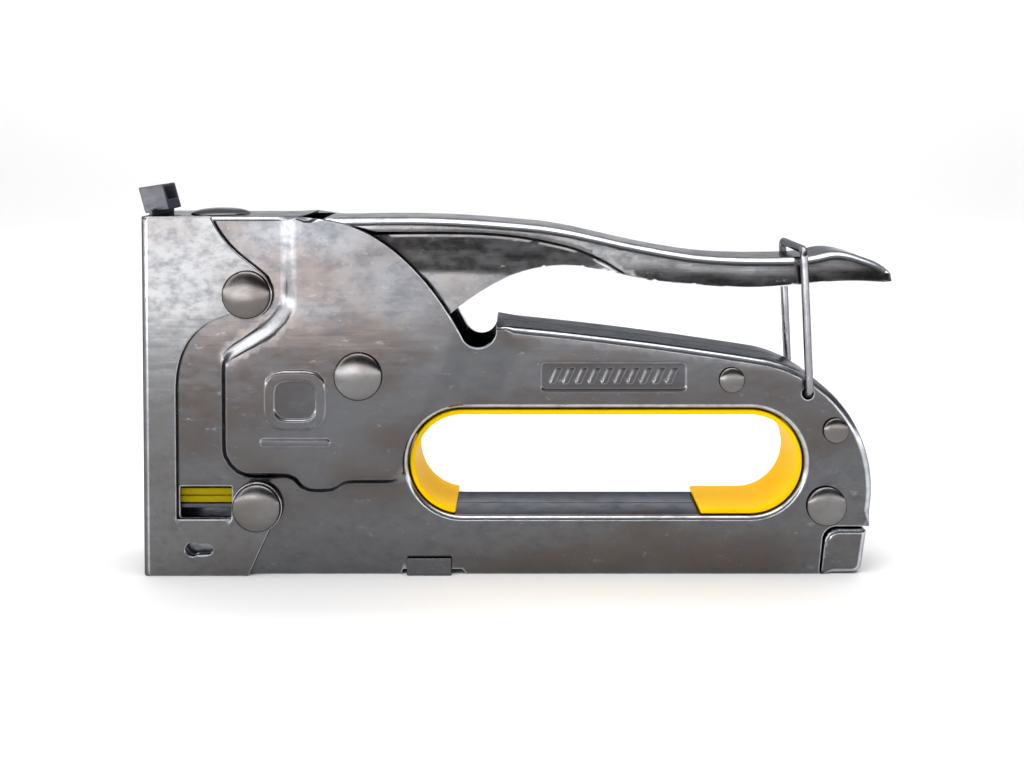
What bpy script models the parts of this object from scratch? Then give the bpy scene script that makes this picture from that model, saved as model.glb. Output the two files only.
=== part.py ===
"""Staple gun: a hand tacker with a pressed-steel body, a squeeze lever and a slide-out magazine.

Metres, +Z up. The nose points to -X and the tail to +X, and Y = 0 is the middle plane. The tool
stands on its bottom edge at Z = 0. Side-view outlines are lists of (x, z) points, and a half-width
is measured from the middle plane.
"""

import math

import bmesh
import bpy
from mathutils import Matrix, Vector

# Sheet and fits
SHEET = 0.0010
GAP = 0.0003
OPEN_REACH = 0.0020

# Body, side view
NOSE_X = -0.0829
BODY_LENGTH = 0.1640
BODY_TOP_Z = 0.0808
TOP_END_SETBACK = 0.0360
ARCH_START_SETBACK = 0.0401
ARCH_DROP = 0.0006
NOTCH_SETBACK = 0.0753
NOTCH_Z = 0.0553
NOTCH_RADIUS = 0.0040
NOTCH_MEETS_ARCH_DEG = 200
GRIP_TOP_Z = 0.0563
GRIP_BACK_RADIUS = 0.0303
GRIP_BACK_Z = 0.0190
GRIP_BACK_LEAN_DEG = 78
REAR_FOOT_STEP = 0.0008

# Body, across
HALF_WIDTH = 0.0090
BULGE_RISE = 0.0018
BULGE_SLOPE = 0.0022

# Finger hole and its liner
HOLE_FRONT_SETBACK = 0.0595
HOLE_REAR_SETBACK = 0.0155
HOLE_FLOOR_Z = 0.0132
HOLE_HEIGHT = 0.0242
LINER_WALL = 0.0011
LINER_INSET = 0.0006
LINER_FRONT_FOOT_DEG = 262
LINER_REAR_FOOT = 0.0232

# Front cover and nose guide plate
GUIDE_PLATE = 0.0008
LUG_LEAN_DEG = 15
LUG_HEIGHT = 0.0058
LUG_OVERHANG = 0.0023
LUG_RISE = 0.16
LUG_DEPTH = 0.0056
LUG_HALF_WIDTH = 0.0045
COVER_EAR_RADIUS = 0.0057
COVER_WALL_X = -0.0753
WINDOW_LENGTH = 0.0117
WINDOW_SETBACK = 0.0005
WINDOW_FLOOR_Z = 0.0128
WINDOW_HEIGHT = 0.0072
KEYHOLE_X = -0.0718
KEYHOLE_Z = 0.0060
KEYHOLE_LENGTH = 0.0034
KEYHOLE_RADIUS = 0.0012
KEYHOLE_BORE = 0.0016

# Rivets: (x, z) of each axis, and the sizes of the three kinds
UPPER_RIVET = (-0.0593, 0.0634)
LOWER_RIVET = (-0.0573, 0.0155)
LEVER_PIVOT = (-0.0344, 0.0452)
REAR_LOWER_SETBACK = 0.0105
REAR_LOWER_Z = 0.0155
REAR_UPPER_SETBACK = 0.0085
REAR_UPPER_Z = 0.0326
GRIP_RIVET_SETBACK = 0.0319
GRIP_RIVET_Z = 0.0440
LARGE_HEAD = 0.0054
LARGE_SHANK = 0.0025
LARGE_CROWN = 0.0015
MEDIUM_HEAD = 0.0045
MEDIUM_SHANK = 0.0020
MEDIUM_CROWN = 0.0013
SMALL_HEAD = 0.0029
SMALL_SHANK = 0.0013
SMALL_CROWN = 0.0009
SPACER_WALL = 0.0010

# Lever
LEVER_HALF_WIDTH = 0.0083
LEVER_SHEET = 0.0012
LEVER_EDGE_RADIUS = 0.0020
CHEEK_HALF_WIDTH = 0.0076
LEVER_OVERHANG = 0.0041
LIFT_ARM_HALF_WIDTH = 0.0022
LIFT_ARM_EYE = 0.0062
LIFT_ARM_REACH = 0.0264
ARM_PIN = (-0.0410, 0.0500)
ARM_PIN_RADIUS = 0.0015
RETURN_WIRE = 0.0011
RETURN_COIL_RADIUS = 0.0040
RETURN_TURNS = 2

# Lock bail
BAIL_WIRE = 0.0018
BAIL_SETBACK = 0.0148
BAIL_Z = 0.0409
BAIL_TOP_Z = 0.0734
BAIL_FORWARD = 0.0014
BAIL_SIDE_GAP = 0.0004
BAIL_BEND = 0.0016
BAIL_HOLE = 0.0014
BAIL_END_HALF = 0.0060

# Power spring, its cap, and the striker
SPRING_X = -0.0676
SPRING_WIRE = 0.0015
SPRING_RADIUS = 0.0043
SPRING_TURNS = 9
CAP_DOME_RADIUS = 0.0067
CAP_DOME_RISE = 0.0013
CAP_LIP = 0.0006
CAP_LIP_HEIGHT = 0.0025
CAP_BOSS = 0.0030
BLADE = 0.0010
BLADE_FOOT_Z = 0.0008
BLADE_TOP_Z = 0.0400
STAPLE_WIRE_ROOM = 0.0006
RAIL_SETBACK = 0.0004
PUSHER_SETBACK = 0.0002
CARRIER_HALF_WIDTH = 0.0055
CARRIER_HEIGHT = 0.0056
LIFT_PLATE = 0.0008
LIFT_PLATE_TOP_Z = 0.0410
BUMPER_FOOT_Z = 0.0159
BUMPER_HEIGHT = 0.0032
BUMPER_GROOVE = 0.0004
BUMPER_REAR_X = -0.0626

# Magazine
STAPLE_INSIDE_HALF = 0.0050
STAPLE_OUTSIDE_HALF = 0.0061
CHANNEL_WALL = 0.0012
MAGAZINE_FOOT_Z = 0.0012
RAIL_TOP_Z = 0.0090
RAIL_WALL = 0.0010
PUSHER_SHEET = 0.0005
PUSHER_LENGTH = 0.0170
PUSHER_FOOT_Z = 0.0025
ROD_RADIUS = 0.0010
ROD_Z = 0.0054
SLOT_HALF_WIDTH = 0.0016
PUSHER_WIRE = 0.0006
PUSHER_COIL_RADIUS = 0.0020
PUSHER_TURNS = 18
CHANNEL_REAR_SETBACK = 0.0136
CAP_SETBACK = 0.0121
CAP_CUT_Z = 0.0109
CAP_CUT_RADIUS = 0.0033
CAP_GAP = 0.0006
CAP_CORNER = 0.0025
CAP_REAR_STEP = 0.0012
CAP_REAR_WALL = 0.0022
CAP_FOOT_STEP = 0.0010
CAP_SHOULDER = 0.0007
BULKHEAD_SETBACK = 0.0246
CATCH_LEAF = 0.0005

# Bottom clip that ties the two body halves
CLIP_X = -0.0238
CLIP_LENGTH = 0.0101
CLIP_SHEET = 0.0008
CLIP_HEIGHT = 0.0039

REAR_X = NOSE_X + BODY_LENGTH
SHELL_NOSE_X = NOSE_X + SHEET + GAP + GUIDE_PLATE + GAP
INNER_HALF = HALF_WIDTH - SHEET
BULGE_HALF = HALF_WIDTH + BULGE_RISE
COVER_INNER = HALF_WIDTH + GAP
COVER_OUTER = COVER_INNER + SHEET
BLADE_X = SHELL_NOSE_X + SHEET + GAP
BLADE_BACK_X = BLADE_X + BLADE
MAGAZINE_FRONT_X = BLADE_BACK_X + STAPLE_WIRE_ROOM
PIVOT_X, PIVOT_Z = LEVER_PIVOT
BAIL_X = REAR_X - BAIL_SETBACK
HOLE_FRONT_X = NOSE_X + HOLE_FRONT_SETBACK
HOLE_REAR_X = REAR_X - HOLE_REAR_SETBACK
HOLE_RADIUS = HOLE_HEIGHT / 2
HOLE_MID_Z = HOLE_FLOOR_Z + HOLE_RADIUS
REAR_LOWER = (REAR_X - REAR_LOWER_SETBACK, REAR_LOWER_Z)
REAR_UPPER = (REAR_X - REAR_UPPER_SETBACK, REAR_UPPER_Z)
GRIP_RIVET = (REAR_X - GRIP_RIVET_SETBACK, GRIP_RIVET_Z)
WINDOW_X = COVER_WALL_X + WINDOW_SETBACK
CHANNEL_INNER_Z = RAIL_TOP_Z + GAP + PUSHER_SHEET + GAP
CHANNEL_TOP_Z = CHANNEL_INNER_Z + SHEET
CHANNEL_REAR_X = REAR_X - CHANNEL_REAR_SETBACK
TAIL_CUT_X = REAR_X - CAP_SETBACK
TAIL_CAP_X = TAIL_CUT_X + CAP_GAP
TAIL_CAP_REAR_X = REAR_X - CAP_REAR_STEP
CAP_HOLLOW_REAR_X = TAIL_CAP_REAR_X - CAP_REAR_WALL
BULKHEAD_X = REAR_X - BULKHEAD_SETBACK
BUMPER_TOP_Z = BUMPER_FOOT_Z + BUMPER_HEIGHT
CARRIER_FOOT_Z = BUMPER_TOP_Z + GAP
CARRIER_TOP_Z = CARRIER_FOOT_Z + CARRIER_HEIGHT
LIFT_PLATE_X = SPRING_X + SPRING_RADIUS + SPRING_WIRE / 2 + GAP
CAP_SEAT_Z = BODY_TOP_Z - SHEET - GAP - CAP_LIP_HEIGHT


# Outlines and simple solids


def arc(centre, radius, start, end, steps):
    """Points of a round stretch from one angle to another, in degrees, both ends included."""
    angles = [math.radians(start + (end - start) * i / steps) for i in range(steps + 1)]
    return [(centre[0] + radius * math.cos(a), centre[1] + radius * math.sin(a)) for a in angles]


def bezier(p0, p1, p2, p3, steps):
    """Points of a cubic curve, both ends included."""
    points = []
    for i in range(steps + 1):
        t = i / steps
        weights = ((1 - t) ** 3, 3 * t * (1 - t) ** 2, 3 * t * t * (1 - t), t**3)
        points.append(tuple(sum(w * p[k] for w, p in zip(weights, (p0, p1, p2, p3))) for k in (0, 1)))
    return points


def smooth(points, steps):
    """A smooth curve through the given points, with straight-line ends."""
    first = (2 * points[0][0] - points[1][0], 2 * points[0][1] - points[1][1])
    last = (2 * points[-1][0] - points[-2][0], 2 * points[-1][1] - points[-2][1])
    padded = [first, *points, last]
    curve = [points[0]]
    for before, start, end, after in zip(padded, padded[1:], padded[2:], padded[3:]):
        lead = tuple(start[k] + (end[k] - before[k]) / 6 for k in (0, 1))
        trail = tuple(end[k] - (after[k] - start[k]) / 6 for k in (0, 1))
        curve += bezier(start, lead, trail, end, steps)[1:]
    return curve


def height_at(curve, x):
    """The z of a left-to-right curve at x."""
    for (x0, z0), (x1, z1) in zip(curve, curve[1:]):
        if x <= x1:
            return z0 + (z1 - z0) * (x - x0) / (x1 - x0)
    return curve[-1][1]


def beside(points, distance):
    """An open line moved sideways, to its right when distance is positive."""
    moved = []
    for i, point in enumerate(points):
        before = Vector(points[max(i - 1, 0)])
        here = Vector(point)
        after = Vector(points[min(i + 1, len(points) - 1)])
        into = (here - before).normalized() if i else (after - here).normalized()
        out = (after - here).normalized() if i < len(points) - 1 else into
        along = (into + out).normalized()
        reach = distance / max(along.dot(into), 0.3)
        moved.append((point[0] + along.y * reach, point[1] - along.x * reach))
    return moved


def rectangle(x0, x1, z0, z1):
    return [(x0, z0), (x1, z0), (x1, z1), (x0, z1)]


def circle(centre, radius, steps=20):
    return arc(centre, radius, 0, 360, steps)[:-1]


def obround(x0, x1, z0, z1, steps=14):
    """A slot outline with half-round ends."""
    radius = (z1 - z0) / 2
    middle = (z0 + z1) / 2
    left = arc((x0 + radius, middle), radius, 90, 270, steps)
    right = arc((x1 - radius, middle), radius, -90, 90, steps)
    return left + right


def object_from(name, bm):
    bmesh.ops.recalc_face_normals(bm, faces=bm.faces)
    mesh = bpy.data.meshes.new(name)
    bm.to_mesh(mesh)
    bm.free()
    obj = bpy.data.objects.new(name, mesh)
    bpy.context.scene.collection.objects.link(obj)
    return obj


def add_loft(bm, rings):
    """Adds a closed solid through rings of equally many points."""
    loops = [[bm.verts.new(point) for point in ring] for ring in rings]
    bm.faces.new(loops[0])
    bm.faces.new(loops[-1])
    for near, far in zip(loops, loops[1:]):
        for i in range(len(near)):
            j = (i + 1) % len(near)
            bm.faces.new((near[i], near[j], far[j], far[i]))


def add_prism(bm, outline, y0, y1):
    """Adds a side-view outline pushed across from y0 to y1."""
    add_loft(bm, [[(x, y, z) for x, z in outline] for y in (y0, y1)])


def prism(name, outline, y0, y1):
    bm = bmesh.new()
    add_prism(bm, outline, y0, y1)
    return object_from(name, bm)


def box(name, x0, x1, half_width, z0, z1):
    return prism(name, rectangle(x0, x1, z0, z1), -half_width, half_width)


def turned(name, profile, origin, axis, steps):
    """A solid turned from (radius, distance along the axis) pairs; it starts and ends on the axis."""
    bm = bmesh.new()
    verts = [bm.verts.new((radius, 0, along)) for radius, along in profile]
    for a, b in zip(verts, verts[1:]):
        bm.edges.new((a, b))
    bmesh.ops.spin(
        bm, geom=bm.verts[:] + bm.edges[:], axis=(0, 0, 1), cent=(0, 0, 0),
        angle=math.tau, steps=steps, use_merge=True,
    )
    bmesh.ops.remove_doubles(bm, verts=bm.verts, dist=1e-6)
    turn = Vector((0, 0, 1)).rotation_difference(Vector(axis)).to_matrix().to_4x4()
    bmesh.ops.transform(bm, matrix=Matrix.Translation(origin) @ turn, verts=bm.verts)
    return object_from(name, bm)


def wire(name, points, diameter, sides=2):
    """A round wire along the points, with closed ends."""
    curve = bpy.data.curves.new(name, "CURVE")
    curve.dimensions = "3D"
    curve.bevel_depth = diameter / 2
    curve.bevel_resolution = sides
    curve.use_fill_caps = True
    spline = curve.splines.new("POLY")
    spline.points.add(len(points) - 1)
    for target, point in zip(spline.points, points):
        target.co = (*point, 1)
    obj = bpy.data.objects.new(name, curve)
    bpy.context.scene.collection.objects.link(obj)
    return obj


def boolean(obj, other, operation):
    """A Boolean with a helper object, which is kept out of the model."""
    other.hide_render = True
    other.display_type = "WIRE"
    modifier = obj.modifiers.new(other.name, "BOOLEAN")
    modifier.operation = operation
    modifier.object = other
    return obj


def cut(obj, other):
    return boolean(obj, other, "DIFFERENCE")


def join(obj, other):
    return boolean(obj, other, "UNION")


def common(obj, other):
    return boolean(obj, other, "INTERSECT")


def finish(obj, colour, roughness, metallic):
    """Gives the object its own Principled material and smooth round faces."""
    material = bpy.data.materials.new(obj.name)
    material.use_nodes = True
    shader = material.node_tree.nodes["Principled BSDF"]
    shader.inputs["Base Color"].default_value = (*colour, 1)
    shader.inputs["Roughness"].default_value = roughness
    shader.inputs["Metallic"].default_value = metallic
    obj.data.materials.append(material)
    if obj.type == "MESH":
        obj.data.shade_smooth()
        obj.data.set_sharp_from_angle(angle=math.radians(30))
    return obj


def nickel(obj):
    return finish(obj, (0.62, 0.61, 0.59), 0.22, 1.0)


def dark_steel(obj):
    return finish(obj, (0.20, 0.20, 0.21), 0.45, 1.0)


def spring_steel(obj):
    return finish(obj, (0.42, 0.43, 0.45), 0.30, 1.0)


def zinc(obj):
    return finish(obj, (0.50, 0.52, 0.54), 0.38, 1.0)


def yellow(obj):
    return finish(obj, (0.95, 0.62, 0.02), 0.35, 0.0)


def axis_empty(name, x, z, children):
    """An empty on a joint's axis, which carries the pieces that turn about it."""
    empty = bpy.data.objects.new(name, None)
    empty.location = (x, 0, z)
    bpy.context.scene.collection.objects.link(empty)
    for child in children:
        child.parent = empty
        child.matrix_parent_inverse = Matrix.Translation((-x, 0, -z))


# Body halves


def body_stretches():
    """The body's side-view edge, anticlockwise, in four stretches: bottom and tail cut (open),
    tail and grip (flanged), notch and arch (open), top and nose (flanged)."""
    corner = (TAIL_CUT_X + CAP_CUT_RADIUS + CAP_SHOULDER, CAP_CUT_Z - CAP_CUT_RADIUS)
    bottom = [(SHELL_NOSE_X, 0), (CLIP_X - GAP, 0), (TAIL_CUT_X, 0)]
    bottom += arc(corner, CAP_CUT_RADIUS, 180, 90, 6)
    bottom.append((REAR_X - REAR_FOOT_STEP, CAP_CUT_Z))

    back_centre = (REAR_X - GRIP_BACK_RADIUS, GRIP_BACK_Z)
    grip = [(REAR_X - REAR_FOOT_STEP, CAP_CUT_Z), (REAR_X - 0.0002, CAP_CUT_Z + 0.0014)]
    grip += arc(back_centre, GRIP_BACK_RADIUS, 0, GRIP_BACK_LEAN_DEG, 12)
    notch = (NOSE_X + NOTCH_SETBACK, NOTCH_Z)
    grip_front = (notch[0] + NOTCH_RADIUS, GRIP_TOP_Z)
    lean = math.radians(GRIP_BACK_LEAN_DEG)
    back_end = grip[-1]
    span = (back_end[0] - grip_front[0]) / 3
    lead = (back_end[0] - span, back_end[1] + span / math.tan(lean) * 0.75)
    trail = (grip_front[0] + span, grip_front[1] - span * 0.09)
    grip += bezier(back_end, lead, trail, grip_front, 8)[1:]

    mouth = [grip_front] + arc(notch, NOTCH_RADIUS, 0, NOTCH_MEETS_ARCH_DEG - 360, 12)
    arch_end = mouth[-1]
    arch_start = (NOSE_X + ARCH_START_SETBACK, BODY_TOP_Z - ARCH_DROP)
    lead = (arch_end[0] - 0.0066, arch_end[1] + 0.0125)
    trail = (arch_start[0] + 0.0140, arch_start[1] - 0.0010)
    mouth += bezier(arch_end, lead, trail, arch_start, 12)[1:]
    top_end = (NOSE_X + TOP_END_SETBACK, BODY_TOP_Z)
    mouth.append(top_end)

    nose = [top_end, (SHELL_NOSE_X, BODY_TOP_Z), (SHELL_NOSE_X, 0)]
    return bottom, grip, mouth, nose


def body_outline():
    stretches = body_stretches()
    return [point for stretch in stretches for point in stretch[1:]]


def cavity_outline():
    """The space inside the sheet, running past the edge where the body is open."""
    bottom, grip, mouth, nose = body_stretches()
    return (
        beside(bottom, OPEN_REACH)
        + beside(grip, -SHEET)
        + beside(mouth, OPEN_REACH)
        + beside(nose, -SHEET)
    )


def bulge_edges():
    """The foot and the crest of the raised middle panel, point for point."""
    ridge_x = NOSE_X + TOP_END_SETBACK - 0.0038
    panel_x = COVER_WALL_X + 0.0096
    over = BODY_TOP_Z + OPEN_REACH
    notch_x = NOSE_X + NOTCH_SETBACK
    hole_left = HOLE_FRONT_X - 0.0010
    foot = [
        (ridge_x - 0.0015, over),
        (ridge_x - 0.0015, 0.0618),
        (panel_x + 0.0100, 0.0572),
        (panel_x, 0.0500),
        (panel_x, 0.0262),
        (panel_x + 0.0042, 0.0216),
        (panel_x + 0.0160, 0.0216),
        (panel_x + 0.0184, 0.0182),
        (panel_x + 0.0262, 0.0182),
        (panel_x + 0.0284, 0.0202),
        (hole_left, 0.0202),
        (hole_left + 0.0250, 0.0460),
        (notch_x + 0.0130, GRIP_TOP_Z + OPEN_REACH),
        (notch_x + 0.0130, over),
    ]
    slope = BULGE_SLOPE
    crest = [
        (foot[0][0] + 2 * slope, over),
        (foot[1][0] + 2 * slope, foot[1][1] - slope),
        (foot[2][0] + 1.5 * slope, foot[2][1] - 1.5 * slope),
        (foot[3][0] + slope, foot[3][1] - 0.7 * slope),
        (foot[4][0] + slope, foot[4][1] + 0.5 * slope),
        (foot[5][0] + 0.5 * slope, foot[5][1] + slope),
        (foot[6][0] + 0.5 * slope, foot[6][1] + slope),
        (foot[7][0] + 0.5 * slope, foot[7][1] + slope),
        (foot[8][0] - 0.5 * slope, foot[8][1] + slope),
        (foot[9][0] - 0.5 * slope, foot[9][1] + slope),
        (foot[10][0] - slope, foot[10][1] + slope),
        (hole_left + 0.0080, 0.0460),
        (notch_x - 0.0030, GRIP_TOP_Z + OPEN_REACH),
        (notch_x - 0.0030, over),
    ]
    return foot, crest


def level_solid(name, side, half_width):
    """Everything from the middle plane out to the sheet's face, panel included."""
    foot, crest = bulge_edges()
    slab = prism(name, rectangle(NOSE_X - 0.01, REAR_X + 0.01, -0.01, BODY_TOP_Z + 0.01),
                 0, side * half_width)
    rise = bmesh.new()
    rings = [(foot, half_width / 2), (foot, half_width), (crest, half_width + BULGE_RISE)]
    add_loft(rise, [[(x, side * y, z) for x, z in ring] for ring, y in rings])
    return join(slab, object_from(name + "_panel", rise))


def shell_openings(name, side):
    """Every hole through one body half, as one cutter."""
    bm = bmesh.new()
    near, far = side * (INNER_HALF - 0.003), side * (BULGE_HALF + 0.002)
    holes = [
        circle(UPPER_RIVET, LARGE_SHANK + GAP),
        circle(LOWER_RIVET, LARGE_SHANK + GAP),
        circle(LEVER_PIVOT, LARGE_SHANK + GAP),
        circle(REAR_LOWER, MEDIUM_SHANK + GAP),
        circle(REAR_UPPER, SMALL_SHANK + GAP, 14),
        circle(GRIP_RIVET, SMALL_SHANK + GAP, 14),
        circle((BAIL_X, BAIL_Z), BAIL_HOLE, 16),
        rectangle(WINDOW_X, WINDOW_X + WINDOW_LENGTH, WINDOW_FLOOR_Z, WINDOW_FLOOR_Z + WINDOW_HEIGHT),
        keyhole(),
        rectangle(CLIP_X - GAP, CLIP_X + CLIP_LENGTH + GAP, -OPEN_REACH, CLIP_SHEET + GAP),
    ]
    for hole in holes:
        add_prism(bm, hole, near, far)
    return object_from(name, bm)


def keyhole():
    """The slot with a round bore at its front end, a little above the bottom edge."""
    reach = math.degrees(math.asin(KEYHOLE_RADIUS / KEYHOLE_BORE))
    bore = arc((KEYHOLE_X, KEYHOLE_Z), KEYHOLE_BORE, reach, 360 - reach, 12)
    return bore + arc((KEYHOLE_X + KEYHOLE_LENGTH, KEYHOLE_Z), KEYHOLE_RADIUS, -90, 90, 8)


def shell(name, side):
    """One pressed half of the body: a side panel with its edges turned in to the middle."""
    hole = obround(HOLE_FRONT_X, HOLE_REAR_X, HOLE_FLOOR_Z, HOLE_FLOOR_Z + HOLE_HEIGHT)
    collar = obround(HOLE_FRONT_X - SHEET, HOLE_REAR_X + SHEET,
                     HOLE_FLOOR_Z - SHEET, HOLE_FLOOR_Z + HOLE_HEIGHT + SHEET)
    edge = BULGE_HALF + 0.001
    obj = prism(name, body_outline(), side * GAP / 2, side * edge)
    common(obj, level_solid(name + "_face", side, HALF_WIDTH))
    cavity = prism(name + "_cavity", cavity_outline(), -side * 0.001, side * edge)
    common(cavity, level_solid(name + "_inner", side, INNER_HALF))
    cut(cavity, prism(name + "_collar", collar, -side * 0.002, side * (edge + 0.001)))
    cut(obj, cavity)
    cut(obj, prism(name + "_finger_hole", hole, -side * 0.001, side * (edge + 0.001)))
    cut(obj, shell_openings(name + "_openings", side))
    dome = turned(name + "_cap_hole", [(0, 0.01), (CAP_DOME_RADIUS + GAP, 0.01),
                                       (CAP_DOME_RADIUS + GAP, -0.004), (0, -0.004)],
                  (SPRING_X, 0, BODY_TOP_Z), (0, 0, 1), 24)
    cut(obj, dome)
    return nickel(obj)


def build_shells():
    shell("left_shell", -1)
    shell("right_shell", 1)


# Front cover, guide plate and window parts


def cover_outline():
    """The C-shaped cover seen from the side, anticlockwise from its bottom front corner."""
    upper_x, upper_z = UPPER_RIVET
    lower_x, lower_z = LOWER_RIVET
    ear = COVER_EAR_RADIUS
    points = [(NOSE_X, 0), (lower_x - 0.0020, 0)]
    points += arc(LOWER_RIVET, ear, -60, 170, 16)
    points.append((WINDOW_X + WINDOW_LENGTH, WINDOW_FLOOR_Z))
    points.append((COVER_WALL_X, WINDOW_FLOOR_Z))
    points += bezier((COVER_WALL_X, upper_z - 0.0220), (COVER_WALL_X, upper_z - 0.0120),
                     (upper_x - 0.0120, upper_z - ear - 0.0010),
                     (upper_x - 0.0035, upper_z - ear + 0.0012), 8)
    points += arc(UPPER_RIVET, ear, -100, 20, 10)
    points += bezier((upper_x + ear * 0.80, upper_z + ear * 0.66), (upper_x + 0.0010, upper_z + 0.0075),
                     (SPRING_X + 0.0040, BODY_TOP_Z - 0.0080), (SPRING_X + 0.0004, BODY_TOP_Z), 8)
    points.append((NOSE_X, BODY_TOP_Z))
    return points


def build_front_cover():
    """Wraps the nose and is riveted on each side at two ears."""
    cover = prism("front_cover", cover_outline(), -COVER_OUTER, COVER_OUTER)
    cut(cover, box("cover_inside", NOSE_X + SHEET, 0, COVER_INNER, -0.01, BODY_TOP_Z + 0.01))
    bm = bmesh.new()
    reach = COVER_OUTER + 0.001
    for hole in (circle(UPPER_RIVET, LARGE_SHANK + GAP), circle(LOWER_RIVET, LARGE_SHANK + GAP), keyhole()):
        add_prism(bm, hole, -reach, reach)
    cut(cover, object_from("cover_openings", bm))
    nickel(cover)


def build_nose_guide_plate():
    """A plate between the cover and the body, with a bent, leaning lug above the nose."""
    front = NOSE_X + SHEET + GAP
    lean = math.tan(math.radians(LUG_LEAN_DEG))
    foot = BODY_TOP_Z + GAP
    top = foot + LUG_HEIGHT
    lug_front = NOSE_X - LUG_OVERHANG + LUG_HEIGHT * lean
    lug_rear = lug_front + LUG_DEPTH

    def leaning(x0, x1, z0, z1):
        return [(x - (z - foot) * lean, z + (x - lug_front) * LUG_RISE) for x, z in rectangle(x0, x1, z0, z1)]

    plate = box("nose_guide_plate", front, front + GUIDE_PLATE, INNER_HALF, BLADE_FOOT_Z, foot + SHEET)
    lug = prism("lug", leaning(lug_front, lug_rear, foot, top), -LUG_HALF_WIDTH, LUG_HALF_WIDTH)
    pocket = prism("lug_pocket", leaning(lug_front + SHEET, lug_rear + SHEET, foot + 2 * SHEET, top + SHEET),
                   SHEET - LUG_HALF_WIDTH, LUG_HALF_WIDTH - SHEET)
    join(plate, lug)
    cut(plate, pocket)
    dark_steel(plate)


def build_bumper():
    """The yellow stop under the striker, grooved along its middle, on its steel bridge."""
    front = MAGAZINE_FRONT_X
    half = INNER_HALF - GAP
    middle = BUMPER_FOOT_Z + BUMPER_HEIGHT / 2
    bumper = box("striker_bumper", front, BUMPER_REAR_X, half, BUMPER_FOOT_Z, BUMPER_TOP_Z)
    for side in (-1, 1):
        groove = prism(f"bumper_groove_{side}",
                       rectangle(front - 0.001, BUMPER_REAR_X + 0.001,
                                 middle - BUMPER_GROOVE / 2, middle + BUMPER_GROOVE / 2),
                       side * (half - 0.0006), side * (half + 0.001))
        cut(bumper, groove)
    yellow(bumper)

    bridge_top = BUMPER_FOOT_Z - GAP
    bridge_foot = CHANNEL_TOP_Z + GAP
    bridge = box("bumper_bridge", front, BUMPER_REAR_X, half, bridge_foot, bridge_top)
    cut(bridge, box("bridge_inside", front + SHEET, BUMPER_REAR_X - SHEET, half + 0.001,
                    bridge_foot - 0.001, bridge_top - SHEET))
    dark_steel(bridge)


# Rivets and spacers


def rivet(name, centre, seat, head, shank, crown, steps):
    """A through rivet with a domed head on each side, GAP off the face that it holds."""
    base = seat + GAP
    dome = [(head * math.cos(a), base + crown * (0.25 + 0.75 * math.sin(a)))
            for a in [math.radians(22.5 * i) for i in range(4)]]
    half = [(head, base), *dome, (0, base + crown)]
    profile = [(0, -base - crown)]
    profile += [(radius, -along) for radius, along in reversed(half[:-1])]
    profile += [(shank, -base), (shank, base)]
    profile += half
    return nickel(turned(name, profile, (centre[0], 0, centre[1]), (0, 1, 0), steps))


def build_rivets():
    large = (LARGE_HEAD, LARGE_SHANK, LARGE_CROWN, 20)
    medium = (MEDIUM_HEAD, MEDIUM_SHANK, MEDIUM_CROWN, 18)
    small = (SMALL_HEAD, SMALL_SHANK, SMALL_CROWN, 14)
    rivet("front_upper_rivet", UPPER_RIVET, COVER_OUTER, *large)
    rivet("front_lower_rivet", LOWER_RIVET, COVER_OUTER, *large)
    rivet("lever_pivot_rivet", LEVER_PIVOT, BULGE_HALF, *large)
    rivet("rear_lower_rivet", REAR_LOWER, HALF_WIDTH, *medium)
    rivet("rear_upper_rivet", REAR_UPPER, HALF_WIDTH, *small)
    rivet("grip_rivet", GRIP_RIVET, HALF_WIDTH, *small)


def sleeve(name, centre, shank, y0, y1):
    """A plain tube around a rivet's shank."""
    obj = prism(name, circle(centre, shank + GAP + SPACER_WALL, 18), y0, y1)
    cut(obj, prism(name + "_bore", circle(centre, shank + GAP, 18), y0 - 0.001, y1 + 0.001))
    return zinc(obj)


def build_spacers():
    half = INNER_HALF - GAP
    sleeve("rear_lower_spacer", REAR_LOWER, MEDIUM_SHANK, -half, half)
    sleeve("rear_upper_spacer", REAR_UPPER, SMALL_SHANK, -half, half)
    sleeve("grip_spacer", GRIP_RIVET, SMALL_SHANK, -half, half)


# Lever group


def lever_lines():
    """The lever's top line, the lower edge of its hand part, and the lower edge of its web."""
    front = NOSE_X + ARCH_START_SETBACK + 0.0006
    tip = REAR_X + LEVER_OVERHANG
    level = BODY_TOP_Z
    top = smooth([
        (front, level - 0.0005), (-0.0200, level - 0.0004), (-0.0020, level - 0.0014),
        (0.0110, level - 0.0029), (0.0290, level - 0.0068), (0.0450, level - 0.0092),
        (tip - 0.0210, level - 0.0094), (tip - 0.0120, level - 0.0081),
        (tip - 0.0045, level - 0.0100), (tip - 0.0012, level - 0.0117), (tip, level - 0.0131),
    ], 4)
    hand = smooth([
        (front, level - 0.0036), (-0.0070, level - 0.0036), (0.0110, level - 0.0062),
        (0.0200, level - 0.0096), (0.0290, level - 0.0141), (0.0450, level - 0.0157),
        (tip - 0.0290, level - 0.0161), (tip - 0.0120, level - 0.0146), (tip, level - 0.0147),
    ], 4)
    web = smooth([
        (-0.0250, level - 0.0350), (-0.0165, level - 0.0247), (-0.0115, level - 0.0201),
        (-0.0025, level - 0.0145), (0.0065, level - 0.0118), (0.0155, level - 0.0116),
        (0.0280, level - 0.0139),
    ], 4)
    return top, hand, web


def lever_ring(x, top, foot, half, radius):
    """A rounded-top section across the lever."""
    corner = arc((half - radius, top - radius), radius, 0, 90, 3)
    right = [(half, foot), *corner]
    return [(x, y, z) for y, z in right] + [(x, -y, z) for y, z in reversed(right)]


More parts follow.
